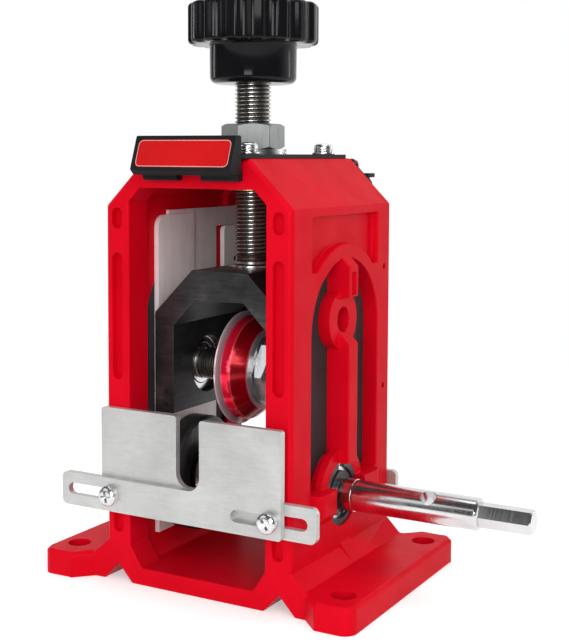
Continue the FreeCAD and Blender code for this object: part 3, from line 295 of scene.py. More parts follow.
def thread_steel(name, centre, axis, root, crest):
    """Threaded steel: painted shade in the roots and a painted highlight on the crests, by distance
    from the axis, with a random darker noise.
    """
    shader = Shader(name)
    axes = shader.axes()
    across = [k for k in range(3) if k != "XYZ".index(axis)]
    squares = []
    for k in across:
        offset = shader.math("SUBTRACT", axes[k], centre[k] * MM)
        squares.append(shader.math("MULTIPLY", offset, offset))
    radius = shader.math("SQRT", shader.math("ADD", squares[0], squares[1]), 0.0)
    # Darker towards the roots and lighter towards the crests: painted shade and painted highlight.
    share = shader.spread(radius, 0.0, 1.0, root * MM, crest * MM)
    grime = shader.math("MULTIPLY", shader.noise(240.0, 4.0, 0.6), 0.4)
    tone = shader.math("ADD", shader.math("MULTIPLY", share, 0.8),
                       shader.math("SUBTRACT", grime, 0.12))
    stops = [(0.15, (0.10, 0.095, 0.085)), (0.5, (0.34, 0.33, 0.30)),
             (0.85, (0.66, 0.65, 0.62))]
    shader.colour(shader.ramp(tone, stops))
    shader.put("Metallic", 1.0)
    shader.roughness(shader.spread(tone, 0.42, 0.26, 0.2, 0.8))
    return shader.material


def blade_steel():
    """Polished blade: a painted red reflection of the casting on its cone, thin painted highlights at
    its ridges, a pale pink painted sheen at the rim, a bare hub and fine rings round the axle.
    """
    shader = Shader("blade_steel")
    axes = shader.axes()
    low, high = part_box("cutting_blade")
    middle = (low + high) / 2
    dy = shader.math("SUBTRACT", axes["Y"], middle.y)
    dz = shader.math("SUBTRACT", axes["Z"], middle.z)
    radius = shader.math("SQRT", shader.math(
        "ADD", shader.math("MULTIPLY", dy, dy), shader.math("MULTIPLY", dz, dz)), 0.0)
    place = shader.node("ShaderNodeCombineXYZ")
    shader.link(shader.math("MULTIPLY", radius, 2600.0), place.inputs["X"])
    rings = shader.noise(1.0, 2.0, 0.5, place.outputs["Vector"])
    share = shader.spread(radius, 0.0, 1.0, 0.0, (high.z - low.z) / 2)
    wobble = shader.math("MULTIPLY", shader.math("SUBTRACT", shader.noise(60.0, 3.0), 0.5), 0.006)
    # By radius: grey hub, a thin painted highlight, the dark red cone, a second painted highlight,
    # the bright red bevel band, then the pale pink rim; the reds and pinks are painted reflection of
    # the red casting.
    stops = [
        (0.40, (0.36, 0.38, 0.40)), (0.685, (0.50, 0.50, 0.52)), (0.695, (0.90, 0.30, 0.36)),
        (0.715, (0.40, 0.001, 0.008)), (0.872, (0.34, 0.001, 0.008)), (0.882, (0.90, 0.10, 0.14)),
        (0.892, (0.92, 0.008, 0.03)), (0.912, (0.90, 0.01, 0.06)), (0.925, (0.46, 0.30, 0.34)),
        (0.975, (0.62, 0.46, 0.50)), (1.0, (0.90, 0.72, 0.76)),
    ]
    shader.colour(shader.ramp(shader.math("ADD", share, wobble), stops))
    shader.put("Metallic", 0.55)
    shader.roughness(shader.spread(rings, 0.14, 0.24))
    shader.bump(rings, 0.00001, 0.25)
    return shader.material


def knob_plastic():
    shader = Shader("knob_plastic")
    stops = [(0.3, (0.004, 0.004, 0.005)), (0.7, (0.008, 0.008, 0.010))]
    shader.colour(shader.ramp(shader.noise(30.0), stops))
    shader.roughness(shader.spread(shader.noise(120.0, 4.0), 0.10, 0.2))
    shader.put("Specular IOR Level", 0.18)
    shader.bump(shader.noise(130.0, 2.0), 0.00008, 0.12)
    return shader.material


def sign_plastic(name, low, high, rough):
    shader = Shader(name)
    shader.colour(shader.ramp(shader.noise(50.0), [(0.3, low), (0.7, high)]))
    shader.roughness(shader.spread(shader.noise(300.0, 3.0), rough - 0.03, rough + 0.05))
    shader.put("Specular IOR Level", 0.12)
    shader.bump(shader.noise(700.0, 2.0), 0.00002, 0.2)
    return shader.material


def brass():
    shader = Shader("bush_brass")
    stops = [(0.3, (0.50, 0.34, 0.12)), (0.7, (0.66, 0.48, 0.20))]
    shader.colour(shader.ramp(shader.noise(90.0, 4.0), stops))
    shader.put("Metallic", 1.0)
    shader.roughness(shader.spread(shader.noise(220.0, 3.0), 0.26, 0.4))
    return shader.material


def make_materials():
    return {
        "red": red_paint("red_paint", (0.60, 0.0012, 0.010), (0.70, 0.002, 0.015), 0.04),
        # Lighter, glossier red on the casting's rounded edges: a painted highlight along the edges.
        "red_edge_highlight": red_paint("red_paint_edge_highlight", (0.80, 0.02, 0.045), (0.90, 0.035, 0.07), 0.35),
        "sheet": black_sheet("black_sheet", (0.012, 0.012, 0.014), (0.020, 0.020, 0.022)),
        "panel": black_sheet("panel_black", (0.034, 0.028, 0.030), (0.048, 0.040, 0.043)),
        "oxide": black_oxide(),
        "rubbed": rubbed_edge(),
        "zinc": zinc_sheet(),
        "zinc_edge": brushed("zinc_edge", (0.66, 0.66, 0.65), (0.88, 0.88, 0.87),
                             (300, 300, 300), 0.25, 0.7),
        # The liner and its wear pads carry a pink tint: a painted reflection of the red casting.
        "liner": brushed("liner_steel", (0.78, 0.70, 0.70), (0.90, 0.82, 0.82),
                         (300, 300, 60), 0.42, 0.1),
        "pad": brushed("wear_pad_steel", (0.60, 0.52, 0.50), (0.95, 0.88, 0.86),
                       (900, 900, 22), 0.42, 0.2),
        "strip": brushed("strip_steel", (0.88, 0.86, 0.85), (0.96, 0.95, 0.94),
                         (900, 900, 26), 0.4, 0.0),
        "bright": brushed("bright_steel", (0.62, 0.63, 0.64), (0.78, 0.79, 0.80),
                          (420, 420, 420), 0.22),
        "shaft": turned_steel("shaft_steel", (0.66, 0.67, 0.68), (0.76, 0.77, 0.78), "X", 0.17),
        "hexagon": brushed("hexagon_steel", (0.80, 0.80, 0.80), (0.92, 0.92, 0.92),
                           (60, 900, 900), 0.4, 0.25),
        "ground": turned_steel("ground_steel", (0.52, 0.52, 0.52), (0.66, 0.66, 0.66), "X", 0.24),
        "nut": brushed("nut_steel", (0.24, 0.25, 0.25), (0.34, 0.35, 0.35),
                       (520, 520, 120), 0.42, 0.6),
        "blade_nut": brushed("blade_nut_steel", (0.62, 0.66, 0.68), (0.80, 0.84, 0.86),
                             (520, 520, 120), 0.22, 0.8),
        "blade": blade_steel(),
        "brass": brass(),
        "knob": knob_plastic(),
        "sign": sign_plastic("sign_insert_red", (0.50, 0.001, 0.002), (0.62, 0.0015, 0.003), 0.3),
        "housing": black_sheet("housing_black", (0.008, 0.008, 0.009), (0.014, 0.014, 0.016)),
        "sign_line": sign_plastic("sign_outline", (0.62, 0.30, 0.29), (0.78, 0.42, 0.40), 0.3),
        "rod": thread_steel("rod_steel", (0, 0, 0), "Z", ROD_ROOT_RADIUS, ROD_CREST_RADIUS),
        "axle": thread_steel("axle_steel", (0, 0, AXLE_Z), "X", AXLE_ROOT_RADIUS, AXLE_CREST_RADIUS),
    }


# Mesh helpers


def to_mesh(name, work):
    mesh = bpy.data.meshes.new(name)
    work.to_mesh(mesh)
    work.free()
    return mesh


def smooth_mesh(name, work):
    """Mesh with its faces turned outwards and shaded smooth."""
    bmesh.ops.recalc_face_normals(work, faces=work.faces)
    for face in work.faces:
        face.smooth = True
    return to_mesh(name, work)


def loose_object(name, data):
    obj = bpy.data.objects.new(name, data)
    bpy.context.scene.collection.objects.link(obj)
    return obj


def body_of(node):
    for body, members in frame["record"]["behaviour"]["bodies"].items():
        if node in members:
            return body
    raise KeyError(node)


def clean_mesh(node):
    """The node's surface with its seams joined and its flat faces made whole."""
    work = bmesh.new()
    work.from_mesh(frame["nodes"][node].data)
    bmesh.ops.remove_doubles(work, verts=work.verts, dist=WELD_DISTANCE * MM)
    bmesh.ops.dissolve_limit(work, angle_limit=math.radians(0.6), verts=work.verts,
                             edges=work.edges, delimit={"NORMAL"})
    return work


def narrow(face, width):
    """Whether a face is too thin a strip to lose the width from both its sides."""
    return face.calc_area() < 1.1 * width * face.calc_perimeter()


def sharp_edges(work, angle, width):
    found = []
    for edge in work.edges:
        if len(edge.link_faces) != 2 or edge.calc_length() < width * 0.5:
            continue
        if any(narrow(face, width) for face in edge.link_faces):
            continue
        if edge.calc_face_angle(0.0) > angle:
            found.append(edge)
    return found


def rounded(node, material, width, edge_material=None, segments=2, zone=None, zone_material=None):
    """A dressed copy of a CAD node: same shape, with its sharp edges rounded over."""
    work = clean_mesh(node)
    edges = sharp_edges(work, math.radians(28.0), width * MM)
    index = 1 if edge_material else -1
    if edges:
        bmesh.ops.bevel(work, geom=edges, offset=width * MM, offset_type="OFFSET",
                        segments=segments, profile=0.5, affect="EDGES", clamp_overlap=False,
                        material=index, harden_normals=False, miter_outer="SHARP")
    if zone:
        for face in work.faces:
            if face.material_index == 0 and zone(face):
                face.material_index = 2 if edge_material else 1
    for face in work.faces:
        face.smooth = True
    obj = loose_object(node + "_dressed", to_mesh(node + "_dressed", work))
    finish_piece(obj, node, material)
    if edge_material:
        obj.data.materials.append(edge_material)
    if zone:
        obj.data.materials.append(zone_material)
    set_sharp(obj, 35.0)
    weighted = obj.modifiers.new("normals", "WEIGHTED_NORMAL")
    weighted.keep_sharp = True


def set_sharp(obj, angle):
    """Smooth shading that stays crisp across edges steeper than the angle."""
    work = bmesh.new()
    work.from_mesh(obj.data)
    limit = math.radians(angle)
    for edge in work.edges:
        if len(edge.link_faces) == 2:
            edge.smooth = edge.calc_face_angle(0.0) < limit
    work.to_mesh(obj.data)
    work.free()


def dress(node, material):
    """Keeps the CAD node itself and gives it a finished material."""
    obj = frame["nodes"][node]
    obj.data.materials.clear()
    obj.data.materials.append(material)


def grid_mesh(name, rows):
    """Mesh through equal rings of points, capped at both ends."""
    work = bmesh.new()
    grid = [[work.verts.new(point) for point in row] for row in rows]
    for upper, lower in zip(grid, grid[1:]):
        for k in range(len(upper)):
            n = (k + 1) % len(upper)
            work.faces.new((upper[k], upper[n], lower[n], lower[k]))
    work.faces.new(list(reversed(grid[0])))
    work.faces.new(grid[-1])
    return smooth_mesh(name, work)


def thread_mesh(name, radius, depth, pitch, start, end):
    """Helical V thread up Z, with the crest and root following one true helix."""
    turns = int((end - start) / pitch) + 2
    lead_in = 1.6 * pitch
    rows = []
    for turn in range(-1, turns):
        for phase, height in THREAD_PROFILE:
            row = []
            for step in range(THREAD_STEPS):
                share = step / THREAD_STEPS
                z = start + pitch * (turn + phase + share)
                near = min(z - start, end - z)
                fade = max(0.0, min(1.0, near / lead_in))
                reach = radius - depth + depth * height * fade
                z = min(max(z, start), end)
                angle = 2 * math.pi * share
                row.append(Vector((reach * math.cos(angle), reach * math.sin(angle), z)) * MM)
            rows.append(row)
    return helix_mesh(name, rows)


def helix_mesh(name, rows):
    """Joins rows so that each row's end meets the start of the row one turn on."""
    work = bmesh.new()
    grid = [[work.verts.new(point) for point in row] for row in rows]
    per_turn = len(THREAD_PROFILE)
    last = THREAD_STEPS - 1
    for index in range(len(grid) - 1):
        for k in range(last):
            work.faces.new((grid[index][k], grid[index][k + 1],
                            grid[index + 1][k + 1], grid[index + 1][k]))
    for index in range(len(grid) - per_turn - 1):
        low = grid[index + per_turn]
        high = grid[index + per_turn + 1]
        work.faces.new((grid[index][last], low[0], high[0], grid[index + 1][last]))
    bmesh.ops.remove_doubles(work, verts=work.verts, dist=1e-7)
    edges = [edge for edge in work.edges if edge.is_boundary]
    bmesh.ops.holes_fill(work, edges=edges, sides=0)
    return smooth_mesh(name, work)


def lathe_rows(profile, steps, shape=None):
    """Rows of points round Z; shape may change a radius by angle and row."""
    rows = []
    for index, (radius, z) in enumerate(profile):
        row = []
        for step in range(steps):
            angle = 2 * math.pi * step / steps
            reach = shape(radius, angle, index) if shape else radius
            row.append(Vector((reach * math.cos(angle), reach * math.sin(angle), z)) * MM)
        rows.append(row)
    return rows


def arc_points(centre_r, centre_z, radius, start, end, count):
    points = []
    for step in range(count + 1):
        angle = math.radians(start + (end - start) * step / count)
        points.append((centre_r + radius * math.cos(angle), centre_z + radius * math.sin(angle)))
    return points


def cut_away(obj, cutter):
    """Cuts one object out of another and removes the cutter."""
    modifier = obj.modifiers.new("cut", "BOOLEAN")
    modifier.operation = "DIFFERENCE"
    modifier.solver = "EXACT"
    modifier.object = cutter
    graph = bpy.context.evaluated_depsgraph_get()
    mesh = bpy.data.meshes.new_from_object(obj.evaluated_get(graph))
    obj.modifiers.remove(modifier)
    obj.data = mesh
    bpy.data.objects.remove(cutter)


# Fasteners


def recess_arm(name, arm, bar, depth, top, turn):
    """One arm of a cross recess, narrowing downwards."""
    work = bmesh.new()
    matrix = Matrix.Rotation(math.radians(turn), 4, "Z")
    corners = []
    for share, width, z in ((1.12, bar, top + 0.4), (0.38, bar * 0.8, top - depth)):
        for sx, sy in ((-1, -1), (1, -1), (1, 1), (-1, 1)):
            corners.append(work.verts.new(matrix @ Vector((sx * arm * share, sy * width, z)) * MM))
    work.faces.new(corners[3::-1])
    work.faces.new(corners[4:])
    for k in range(4):
        n = (k + 1) % 4
        work.faces.new((corners[k], corners[n], corners[4 + n], corners[4 + k]))
    bmesh.ops.recalc_face_normals(work, faces=work.faces)
    return loose_object(name, to_mesh(name, work))


def pan_head(name, radius, height, shank, length):
    """Pan-head cross-recess screw along Z, its head seated at z = 0."""
    crown = height * 0.62
    profile = [(AXIS_HOLE_RADIUS, -length), (shank, -length), (shank, 0.0), (radius - 0.15, 0.0),
               (radius, 0.18), (radius, height - crown)]
    steps = 7
    for step in range(1, steps + 1):
        angle = math.radians(90 * step / steps)
        reach = radius * (0.46 + 0.54 * math.cos(angle))
        profile.append((reach, height - crown + crown * math.sin(angle)))
    profile.append((AXIS_HOLE_RADIUS, height))
    obj = loose_object(name, grid_mesh(name, lathe_rows(profile, 40)))
    for turn in (0, 90):
        arm = recess_arm(name + "_arm", radius * 0.62, radius * 0.15, height * 0.6, height, turn)
        cut_away(obj, arm)
    set_sharp(obj, 32.0)
    return obj


def screw_axis(direction):
    return Vector(direction).to_track_quat("Z", "Y").to_matrix().to_4x4()


def islands(node):
    """Low and high corners of each separate solid in a CAD node."""
    work = bmesh.new()
    work.from_mesh(frame["nodes"][node].data)
    bmesh.ops.remove_doubles(work, verts=work.verts, dist=WELD_DISTANCE * MM)
    seen = set()
    boxes = []
    for vert in work.verts:
        if vert in seen:
            continue
        stack = [vert]
        seen.add(vert)
        points = []
        while stack:
            current = stack.pop()
            points.append(current.co.copy())
            for edge in current.link_edges:
                other = edge.other_vert(current)
                if other not in seen:
                    seen.add(other)
                    stack.append(other)
        low = Vector([min(p[k] for p in points) for k in range(3)])
        high = Vector([max(p[k] for p in points) for k in range(3)])
        boxes.append((low, high))
    work.free()
    return boxes


def screw_set(node, direction, head_height, material, turns, shank):
    """Detailed pan-head screws in place of every screw of a CAD node."""
    k = max(range(3), key=lambda axis: abs(direction[axis]))
    others = [i for i in range(3) if i != k]
    sign = 1 if direction[k] > 0 else -1
    pieces = []
    for number, (low, high) in enumerate(islands(node)):
        centre = (low + high) / 2
        top = high[k] if sign > 0 else low[k]
        seat = top - sign * head_height * MM
        radius = (high[others[0]] - low[others[0]]) / 2 / MM
        length = (high[k] - low[k]) / MM - head_height
        obj = pan_head(node + "_" + str(number), radius, head_height, shank, length)
        place = centre.copy()
        place[k] = seat
        turn = Matrix.Rotation(math.radians(turns[number % len(turns)]), 4, "Z")
        obj.data.transform(Matrix.Translation(place) @ screw_axis(direction) @ turn)
        pieces.append(obj)
    finish_piece(join(node + "_detailed", pieces), node, material)


def join(name, pieces):
    """One object from several loose ones."""
    work = bmesh.new()
    for piece in pieces:
        work.from_mesh(piece.data)
        bpy.data.objects.remove(piece)
    return loose_object(name, to_mesh(name, work))


def finish_piece(obj, node, material):
    """Gives a piece its material and its body, and hides the CAD node that it stands for."""
    obj.data.materials.clear()
    obj.data.materials.append(material)
    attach(obj, body_of(node))
    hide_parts(node)


# Pieces with their own modelled detail


def scallop(radius, angle):
    """Radius of the knob's outline at an angle, with a rounded bite between lobes."""
    step = 2 * math.pi / KNOB_LOBES
    local = (angle + step / 2) % step - step / 2
    centre = radius + KNOB_BITE_RADIUS - KNOB_BITE_DEPTH
    side = centre * math.sin(local)
    if abs(side) >= KNOB_BITE_RADIUS:
        return radius
    cut = centre * math.cos(local) - math.sqrt(KNOB_BITE_RADIUS ** 2 - side ** 2)
    blend = 0.35
    gap = radius - cut
    return radius - 0.5 * (gap + math.sqrt(gap * gap + blend * blend)) + blend * 0.32


def knob(material):
    low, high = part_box("adjusting_knob")
    top = high.z / MM
    bottom = low.z / MM
    reach = high.x / MM
    rim_low = top - KNOB_RIM_HEIGHT
    hub = KNOB_HUB_RADIUS
    hub_inner = hub - KNOB_HUB_CORNER
    rounding = KNOB_RIM_ROUNDING
    profile = [(KNOB_BORE_RADIUS, bottom), (hub_inner, bottom)]
    profile += arc_points(hub_inner, bottom + KNOB_HUB_CORNER, KNOB_HUB_CORNER, -80, 0, 6)
    profile += [(hub + 0.1, rim_low - 0.5), (hub + 0.5, rim_low)]
    plain = len(profile)
    edge = reach - rounding
    profile += arc_points(edge, rim_low + rounding, rounding, -90, 0, 6)
    profile += [(reach, (rim_low + top) / 2)]
    profile += arc_points(edge, top - rounding, rounding, 0, 90, 6)
    scalloped = len(profile)
    dish = KNOB_DISH_RADIUS
    floor = top - KNOB_DISH_DEPTH
    profile += [(dish + 1.2, top), (dish + 0.4, top - 0.4), (dish, floor), (8.2, floor)]
    profile += [(8.0, floor - 0.2), (8.0, floor - 1.6), (KNOB_BORE_RADIUS, floor - 1.6)]

    def shape(radius, angle, index):
        if index < plain or index >= scalloped:
            return radius
        inset = reach - radius
        return scallop(reach, angle) - inset

    rows = lathe_rows(profile, KNOB_LOBES * KNOB_STEPS, shape)
    obj = loose_object("knob_detailed", close_rows(rows))
    finish_piece(obj, "adjusting_knob", material)
    set_sharp(obj, 48.0)


def close_rows(rows):
    """Tube-like mesh whose first and last rows join each other."""
    work = bmesh.new()
    grid = [[work.verts.new(point) for point in row] for row in rows]
    steps = len(rows[0])
    for index in range(len(grid)):
        upper = grid[index]
        lower = grid[(index + 1) % len(grid)]
        for k in range(steps):
            n = (k + 1) % steps
            work.faces.new((upper[k], upper[n], lower[n], lower[k]))
    return smooth_mesh("rows", work)


def knurled_roller(material):
    """Roller with a diamond knurl pressed into its surface."""
    low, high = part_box("feed_roller")
    radius = (high.z - low.z) / 2 / MM
    centre = (low + high) / 2
    half = (high.x - low.x) / 2 / MM
    starts = int(2 * math.pi * radius / KNURL_PITCH)
    around = starts * 4
    along = int(2 * half / KNURL_PITCH * 4)
    chamfer = 1.0
    rows = [ring(SHAFT_RADIUS, -half, around), ring(radius - chamfer, -half, around)]
    for step in range(along + 1):
        x = -half + chamfer + 2 * (half - chamfer) * step / along
        row = []
        for k in range(around):
            angle = 2 * math.pi * k / around
            first = math.cos(starts * angle + x * 2 * math.pi / KNURL_PITCH)
            second = math.cos(starts * angle - x * 2 * math.pi / KNURL_PITCH)
            depth = KNURL_DEPTH * (0.5 - 0.25 * (first + second))
            reach = radius - depth
            row.append(Vector((x, reach * math.cos(angle), reach * math.sin(angle))) * MM)
        rows.append(row)
    rows += [ring(radius - chamfer, half, around), ring(SHAFT_RADIUS, half, around)]
    mesh = close_rows(rows)
    mesh.transform(Matrix.Translation(centre))
    obj = loose_object("feed_roller_knurled", mesh)
    finish_piece(obj, "feed_roller", material)


def ring(radius, x, steps):
    points = []
    for k in range(steps):
        angle = 2 * math.pi * k / steps
        points.append(Vector((x, radius * math.cos(angle), radius * math.sin(angle))) * MM)
    return points


def threaded_rod(material):
    """Adjusting screw: M14 thread above, plain neck through the yoke below."""
    low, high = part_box("adjusting_screw")
    top = high.z / MM
    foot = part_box("thrust_washer")[1].z / MM
    radius = high.x / MM
    helix = thread_mesh("rod_thread", radius, THREAD_DEPTH, THREAD_PITCH, foot + 1.6, top)
    thread = loose_object("rod_thread", helix)
    neck = 4.0
    bottom = low.z / MM
    collar = foot + 1.75
    profile = [(AXIS_HOLE_RADIUS, bottom), (neck - 0.5, bottom), (neck, bottom + 0.5), (neck, foot),
               (radius - 0.9, foot), (radius - 0.2, foot + 0.5), (radius - 0.2, foot + 1.3),
               (radius - THREAD_DEPTH, collar), (radius - 1.2, collar), (AXIS_HOLE_RADIUS, collar)]
    stub = loose_object("rod_neck", grid_mesh("rod_neck", lathe_rows(profile, THREAD_STEPS)))
    obj = join("adjusting_screw_threaded", [thread, stub])
    finish_piece(obj, "adjusting_screw", material)
    set_sharp(obj, 40.0)


def threaded_axle(material):
    """Blade axle: a bolt threaded between its bearings."""
    low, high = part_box("blade_axle")
    radius = (high.z - low.z) / 2 / MM
    centre = (low + high) / 2
    end = high.x / MM
    inner = end - 6.2
    thread = thread_mesh("axle_thread", radius, AXLE_THREAD_DEPTH, AXLE_THREAD_PITCH, -inner, inner)
    work = bmesh.new()
    work.from_mesh(thread)
    for first, last in ((-end, -inner + 0.4), (inner - 0.4, end)):
        profile = [(AXIS_HOLE_RADIUS, first), (radius - 0.6, first), (radius, first + 0.6),
                   (radius, last - 0.5), (radius - 0.5, last), (AXIS_HOLE_RADIUS, last)]
        work.from_mesh(grid_mesh("axle_end", lathe_rows(profile, THREAD_STEPS)))
    mesh = to_mesh("blade_axle_threaded", work)
    turn = Matrix.Rotation(math.radians(90), 4, "Y")
    mesh.transform(Matrix.Translation(Vector((0, 0, centre.z))) @ turn)
    obj = loose_object("blade_axle_threaded", mesh)
    finish_piece(obj, "blade_axle", material)
    set_sharp(obj, 40.0)


def sign_outline(material):
    """Thin pale line set round the sign's insert, just inside its edge."""
    low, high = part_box("sign_insert")
    work = bmesh.new()
    work.from_mesh(frame["nodes"]["sign_insert"].data)
    normal = Vector((0, 0, 0))
    for face in work.faces:
        if face.normal.y < -0.5:
            normal += face.normal * face.calc_area()
    normal.normalize()
    front = max(vert.co.dot(normal) for vert in work.verts)
    work.free()
    across = Vector((1, 0, 0))
    up = normal.cross(across)
    if up.z < 0:
        up = -up
    middle = (low + high) / 2
    lift = 0.05 * MM
    middle += normal * (front - middle.dot(normal) + lift)
    half_wide = (high.x - low.x) / 2
    half_tall = math.hypot(high.z - low.z, high.y - low.y) / 2 - 0.4 * MM
    inset = 0.1 * MM
    width = 0.28 * MM
    corner = 1.9 * MM
    rows = []
    for extra in (0.0, width):
        wide = half_wide - inset - extra
        tall = half_tall - inset - extra
        radius = corner - extra
        row = []
        for cx, cy, start in ((1, 1, 0), (-1, 1, 90), (-1, -1, 180), (1, -1, 270)):
            for step in range(7):
                angle = math.radians(start + 15 * step)
                u = cx * (wide - radius) + radius * math.cos(angle)
                v = cy * (tall - radius) + radius * math.sin(angle)
                row.append(middle + across * u + up * v)
        rows.append(row)
    thickness = 0.2 * MM
    lowered = [[point - normal * thickness for point in row] for row in rows]
    mesh = close_rows([rows[0], rows[1], lowered[1], lowered[0]])
    obj = loose_object("sign_outline", mesh)
    obj.data.materials.append(material)
    for face in obj.data.polygons:
        face.use_smooth = False
    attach(obj, body_of("sign_insert"))


# Faces that carry a material of their own


def stands_at(face, x):
    """Whether a face lies across X at this distance from the object's middle."""
    off = abs(abs(face.calc_center_median().x) - x * MM)
    return off < FACE_TOLERANCE * MM and abs(face.normal.x) > 0.9


def pad_face(face):
    """The raised wear pad on a liner's inner side."""
    return stands_at(face, PAD_FACE_X)


def cavity_face(face):
    """The side panel's face towards the cavity."""
    return stands_at(face, CAVITY_WALL_X)


def hexagon_face(face):
    """The shaft's hexagon end."""
    return face.calc_center_median().x > HEXAGON_START_X * MM


# The object's pieces


def build_object(mats):
    # The casting's rounded edges take the lighter red: a painted highlight.
    rounded("frame_casting", mats["red"], 0.55, mats["red_edge_highlight"], 3)
    for side in ("left", "right"):
        rounded("side_panel_" + side, mats["panel"], 0.2, zone=cavity_face, zone_material=mats["red"])
        rounded("guide_liner_" + side, mats["liner"], 0.15, mats["zinc_edge"],
                zone=pad_face, zone_material=mats["pad"])
        rounded("rear_strip_" + side, mats["strip"], 0.2, mats["zinc_edge"])
        rounded("bearing_carrier_" + side, mats["oxide"], 0.25)
        rounded("shaft_bearing_outer_" + side, mats["bright"], 0.12)
        rounded("shaft_bearing_inner_" + side, mats["bright"], 0.12)
    rounded("blade_yoke", mats["oxide"], 0.3, mats["rubbed"])
    rounded("drive_shaft", mats["shaft"], 0.15, zone=hexagon_face, zone_material=mats["hexagon"])
    rounded("cutting_blade", mats["blade"], 0.06)
    rounded("blade_washer", mats["bright"], 0.25)
    rounded("blade_nut", mats["blade_nut"], 0.25, mats["zinc_edge"])
    rounded("lock_nut", mats["nut"], 0.35, mats["zinc_edge"])
    rounded("lock_nut_washer", mats["bright"], 0.25)
    rounded("guide_plate_front", mats["zinc"], 0.22, mats["zinc_edge"])
    rounded("guide_plate_rear", mats["zinc"], 0.22, mats["zinc_edge"])
    rounded("wire_rest", mats["zinc"], 0.22, mats["zinc_edge"])
    rounded("top_plate", mats["sheet"], 0.2)
    rounded("rear_cover", mats["sheet"], 0.2)
    rounded("sign_housing", mats["housing"], 0.6, segments=4)
    rounded("sign_insert", mats["sign"], 0.15)
    rounded("roller_spacers", mats["ground"], 0.2)
    rounded("thread_bush", mats["brass"], 0.3)
    rounded("knob_cap", mats["knob"], 0.3)
    for node in ("bore_retaining_rings", "shaft_retaining_rings", "neck_retaining_ring",
                 "roller_set_screws", "rear_strip_screws"):
        dress(node, mats["oxide"])
    for node in ("axle_bearing_outer_rings", "axle_bearing_inner_rings", "thrust_washer",
                 "top_split_washers", "top_flat_washers", "guide_screw_washers"):
        rounded(node, mats["bright"], 0.1)
    dress("yoke_set_screws", mats["oxide"])
    dress("knob_insert", mats["brass"])
    screw_set("top_plate_screws", (0, 0, 1), M4_HEAD_HEIGHT, mats["bright"],
              (20, 65, 40, 10), M4_SHANK_RADIUS)
    screw_set("guide_screws", (0, -1, 0), M4_HEAD_HEIGHT, mats["bright"],
              (12, 35), M4_SHANK_RADIUS)
    screw_set("wire_rest_screws", (0, 1, 0), M4_HEAD_HEIGHT, mats["bright"],
              (5, 50), M4_SHANK_RADIUS)
    screw_set("rear_cover_screws", (0, 1, 0), M3_HEAD_HEIGHT, mats["bright"],
              (30, 75, 15, 60), M3_SHANK_RADIUS)
    dress("carrier_screws", mats["bright"])
    knob(mats["knob"])
    knurled_roller(mats["bright"])
    threaded_rod(mats["rod"])
    threaded_axle(mats["axle"])
    sign_outline(mats["sign_line"])


# Floor, background, lights and camera


def seen_directly(tree):
    """Is Camera Ray, Glossy or Transmission: where the plain background shows."""
    path = tree.nodes.new("ShaderNodeLightPath")
    first = tree.nodes.new("ShaderNodeMath")
    first.operation = "MAXIMUM"
    tree.links.new(path.outputs["Is Camera Ray"], first.inputs[0])
    tree.links.new(path.outputs["Is Glossy Ray"], first.inputs[1])
    second = tree.nodes.new("ShaderNodeMath")
    second.operation = "MAXIMUM"
    tree.links.new(first.outputs["Value"], second.inputs[0])
    tree.links.new(path.outputs["Is Transmission Ray"], second.inputs[1])
    return second.outputs["Value"]


def studio_tone(tree):
    """White wherever it is looked at; reflections also see the darker front of the room."""
    path = tree.nodes.new("ShaderNodeLightPath")
    place = tree.nodes.new("ShaderNodeTexCoord")
    split = tree.nodes.new("ShaderNodeSeparateXYZ")
    tree.links.new(place.outputs["Generated"], split.inputs["Vector"])
    span = tree.nodes.new("ShaderNodeMapRange")
    span.inputs["From Min"].default_value = -1.0
    tree.links.new(split.outputs["Y"], span.inputs["Value"])
    ramp = tree.nodes.new("ShaderNodeValToRGB")
    elements = ramp.color_ramp.elements
    elements.new(0.5)
    for element, (at, tone) in zip(elements, REFLECTED_TONES):
        element.position = at
        element.color = (tone, tone, tone, 1.0)
    tree.links.new(span.outputs["Result"], ramp.inputs["Fac"])
    mix = tree.nodes.new("ShaderNodeMix")
    mix.data_type = "RGBA"
    colours = [socket for socket in mix.inputs if socket.type == "RGBA"]
    colours[1].default_value = (1.0, 1.0, 1.0, 1.0)
    tree.links.new(ramp.outputs["Color"], colours[0])
    tree.links.new(path.outputs["Is Camera Ray"], mix.inputs["Factor"])
    return [socket for socket in mix.outputs if socket.type == "RGBA"][0]


def make_world():
    world = bpy.data.worlds.new("studio")
    bpy.context.scene.world = world
    world.use_nodes = True
    tree = world.node_tree
    tree.nodes.clear()
    output = tree.nodes.new("ShaderNodeOutputWorld")
    mix = tree.nodes.new("ShaderNodeMixShader")
    fill = tree.nodes.new("ShaderNodeBackground")
    fill.inputs["Color"].default_value = (1.0, 1.0, 1.0, 1.0)
    fill.inputs["Strength"].default_value = WORLD_FILL
    shown = tree.nodes.new("ShaderNodeBackground")
    shown.inputs["Strength"].default_value = 1.0
    tree.links.new(studio_tone(tree), shown.inputs["Color"])
    tree.links.new(seen_directly(tree), mix.inputs["Fac"])
    tree.links.new(fill.outputs["Background"], mix.inputs[1])
    tree.links.new(shown.outputs["Background"], mix.inputs[2])
    tree.links.new(mix.outputs["Shader"], output.inputs["Surface"])


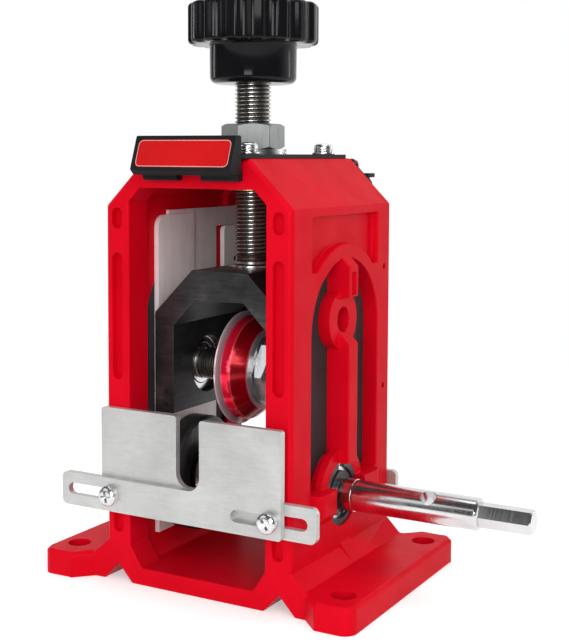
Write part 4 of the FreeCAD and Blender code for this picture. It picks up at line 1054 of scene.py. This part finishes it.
def make_floor():
    """Plain pale floor that keeps the object's shadow and reads as white."""
    work = bmesh.new()
    bmesh.ops.create_circle(work, cap_ends=True, radius=FLOOR_RADIUS, segments=96)
    floor = loose_object("floor", to_mesh("floor", work))
    shader = Shader("floor_white")
    stops = [(0.3, (0.80, 0.80, 0.80)), (0.7, (0.82, 0.82, 0.82))]
    shader.colour(shader.ramp(shader.noise(3.0), stops))
    shader.put("Roughness", 0.9)
    shader.put("Specular IOR Level", 0.1)
    tree = shader.tree
    glow = tree.nodes.new("ShaderNodeEmission")
    glow.inputs["Strength"].default_value = FLOOR_GLOW
    nothing = tree.nodes.new("ShaderNodeEmission")
    nothing.inputs["Strength"].default_value = 0.0
    mix = tree.nodes.new("ShaderNodeMixShader")
    tree.links.new(seen_directly(tree), mix.inputs["Fac"])
    tree.links.new(nothing.outputs["Emission"], mix.inputs[1])
    tree.links.new(glow.outputs["Emission"], mix.inputs[2])
    total = tree.nodes.new("ShaderNodeAddShader")
    tree.links.new(shader.bsdf.outputs["BSDF"], total.inputs[0])
    tree.links.new(mix.outputs["Shader"], total.inputs[1])
    output = tree.nodes["Material Output"]
    tree.links.new(total.outputs["Shader"], output.inputs["Surface"])
    floor.data.materials.append(shader.material)


def softbox(name, place, wide, tall, power):
    light = bpy.data.lights.new(name, "AREA")
    light.shape = "RECTANGLE"
    light.size = wide
    light.size_y = tall
    light.energy = power
    obj = loose_object(name, light)
    obj.location = place
    obj.rotation_mode = "QUATERNION"
    obj.rotation_quaternion = (Vector(LIGHTS_AIM) - Vector(place)).to_track_quat("-Z", "Y")


def make_lights():
    for settings in SOFTBOXES:
        softbox(*settings)


def make_camera():
    yaw = math.radians(YAW)
    pitch = math.radians(PITCH)
    roll = math.radians(ROLL)
    ahead = math.cos(pitch)
    forward = Vector((-math.sin(yaw) * ahead, math.cos(yaw) * ahead, -math.sin(pitch)))
    level = Vector((math.cos(yaw), math.sin(yaw), 0.0))
    upright = level.cross(forward)
    right = level * math.cos(roll) + upright * math.sin(roll)
    up = upright * math.cos(roll) - level * math.sin(roll)
    camera = bpy.data.cameras.new("camera")
    camera.sensor_width = SENSOR
    camera.lens = FOCAL_PX * SENSOR / FRAME_LONG_PX
    camera.shift_y = (OPTIC_AXIS_Y_PX - FRAME_LONG_PX / 2) / FRAME_LONG_PX
    camera.clip_start = 0.01
    camera.clip_end = 50.0
    obj = loose_object("camera", camera)
    turn = Matrix((right, up, -forward)).transposed().to_4x4()
    obj.matrix_world = Matrix.Translation(Vector(EYE) * MM) @ turn
    bpy.context.scene.camera = obj


bpy.context.scene.view_settings.view_transform = "Standard"
make_camera()
make_world()
make_floor()
make_lights()
build_object(make_materials())
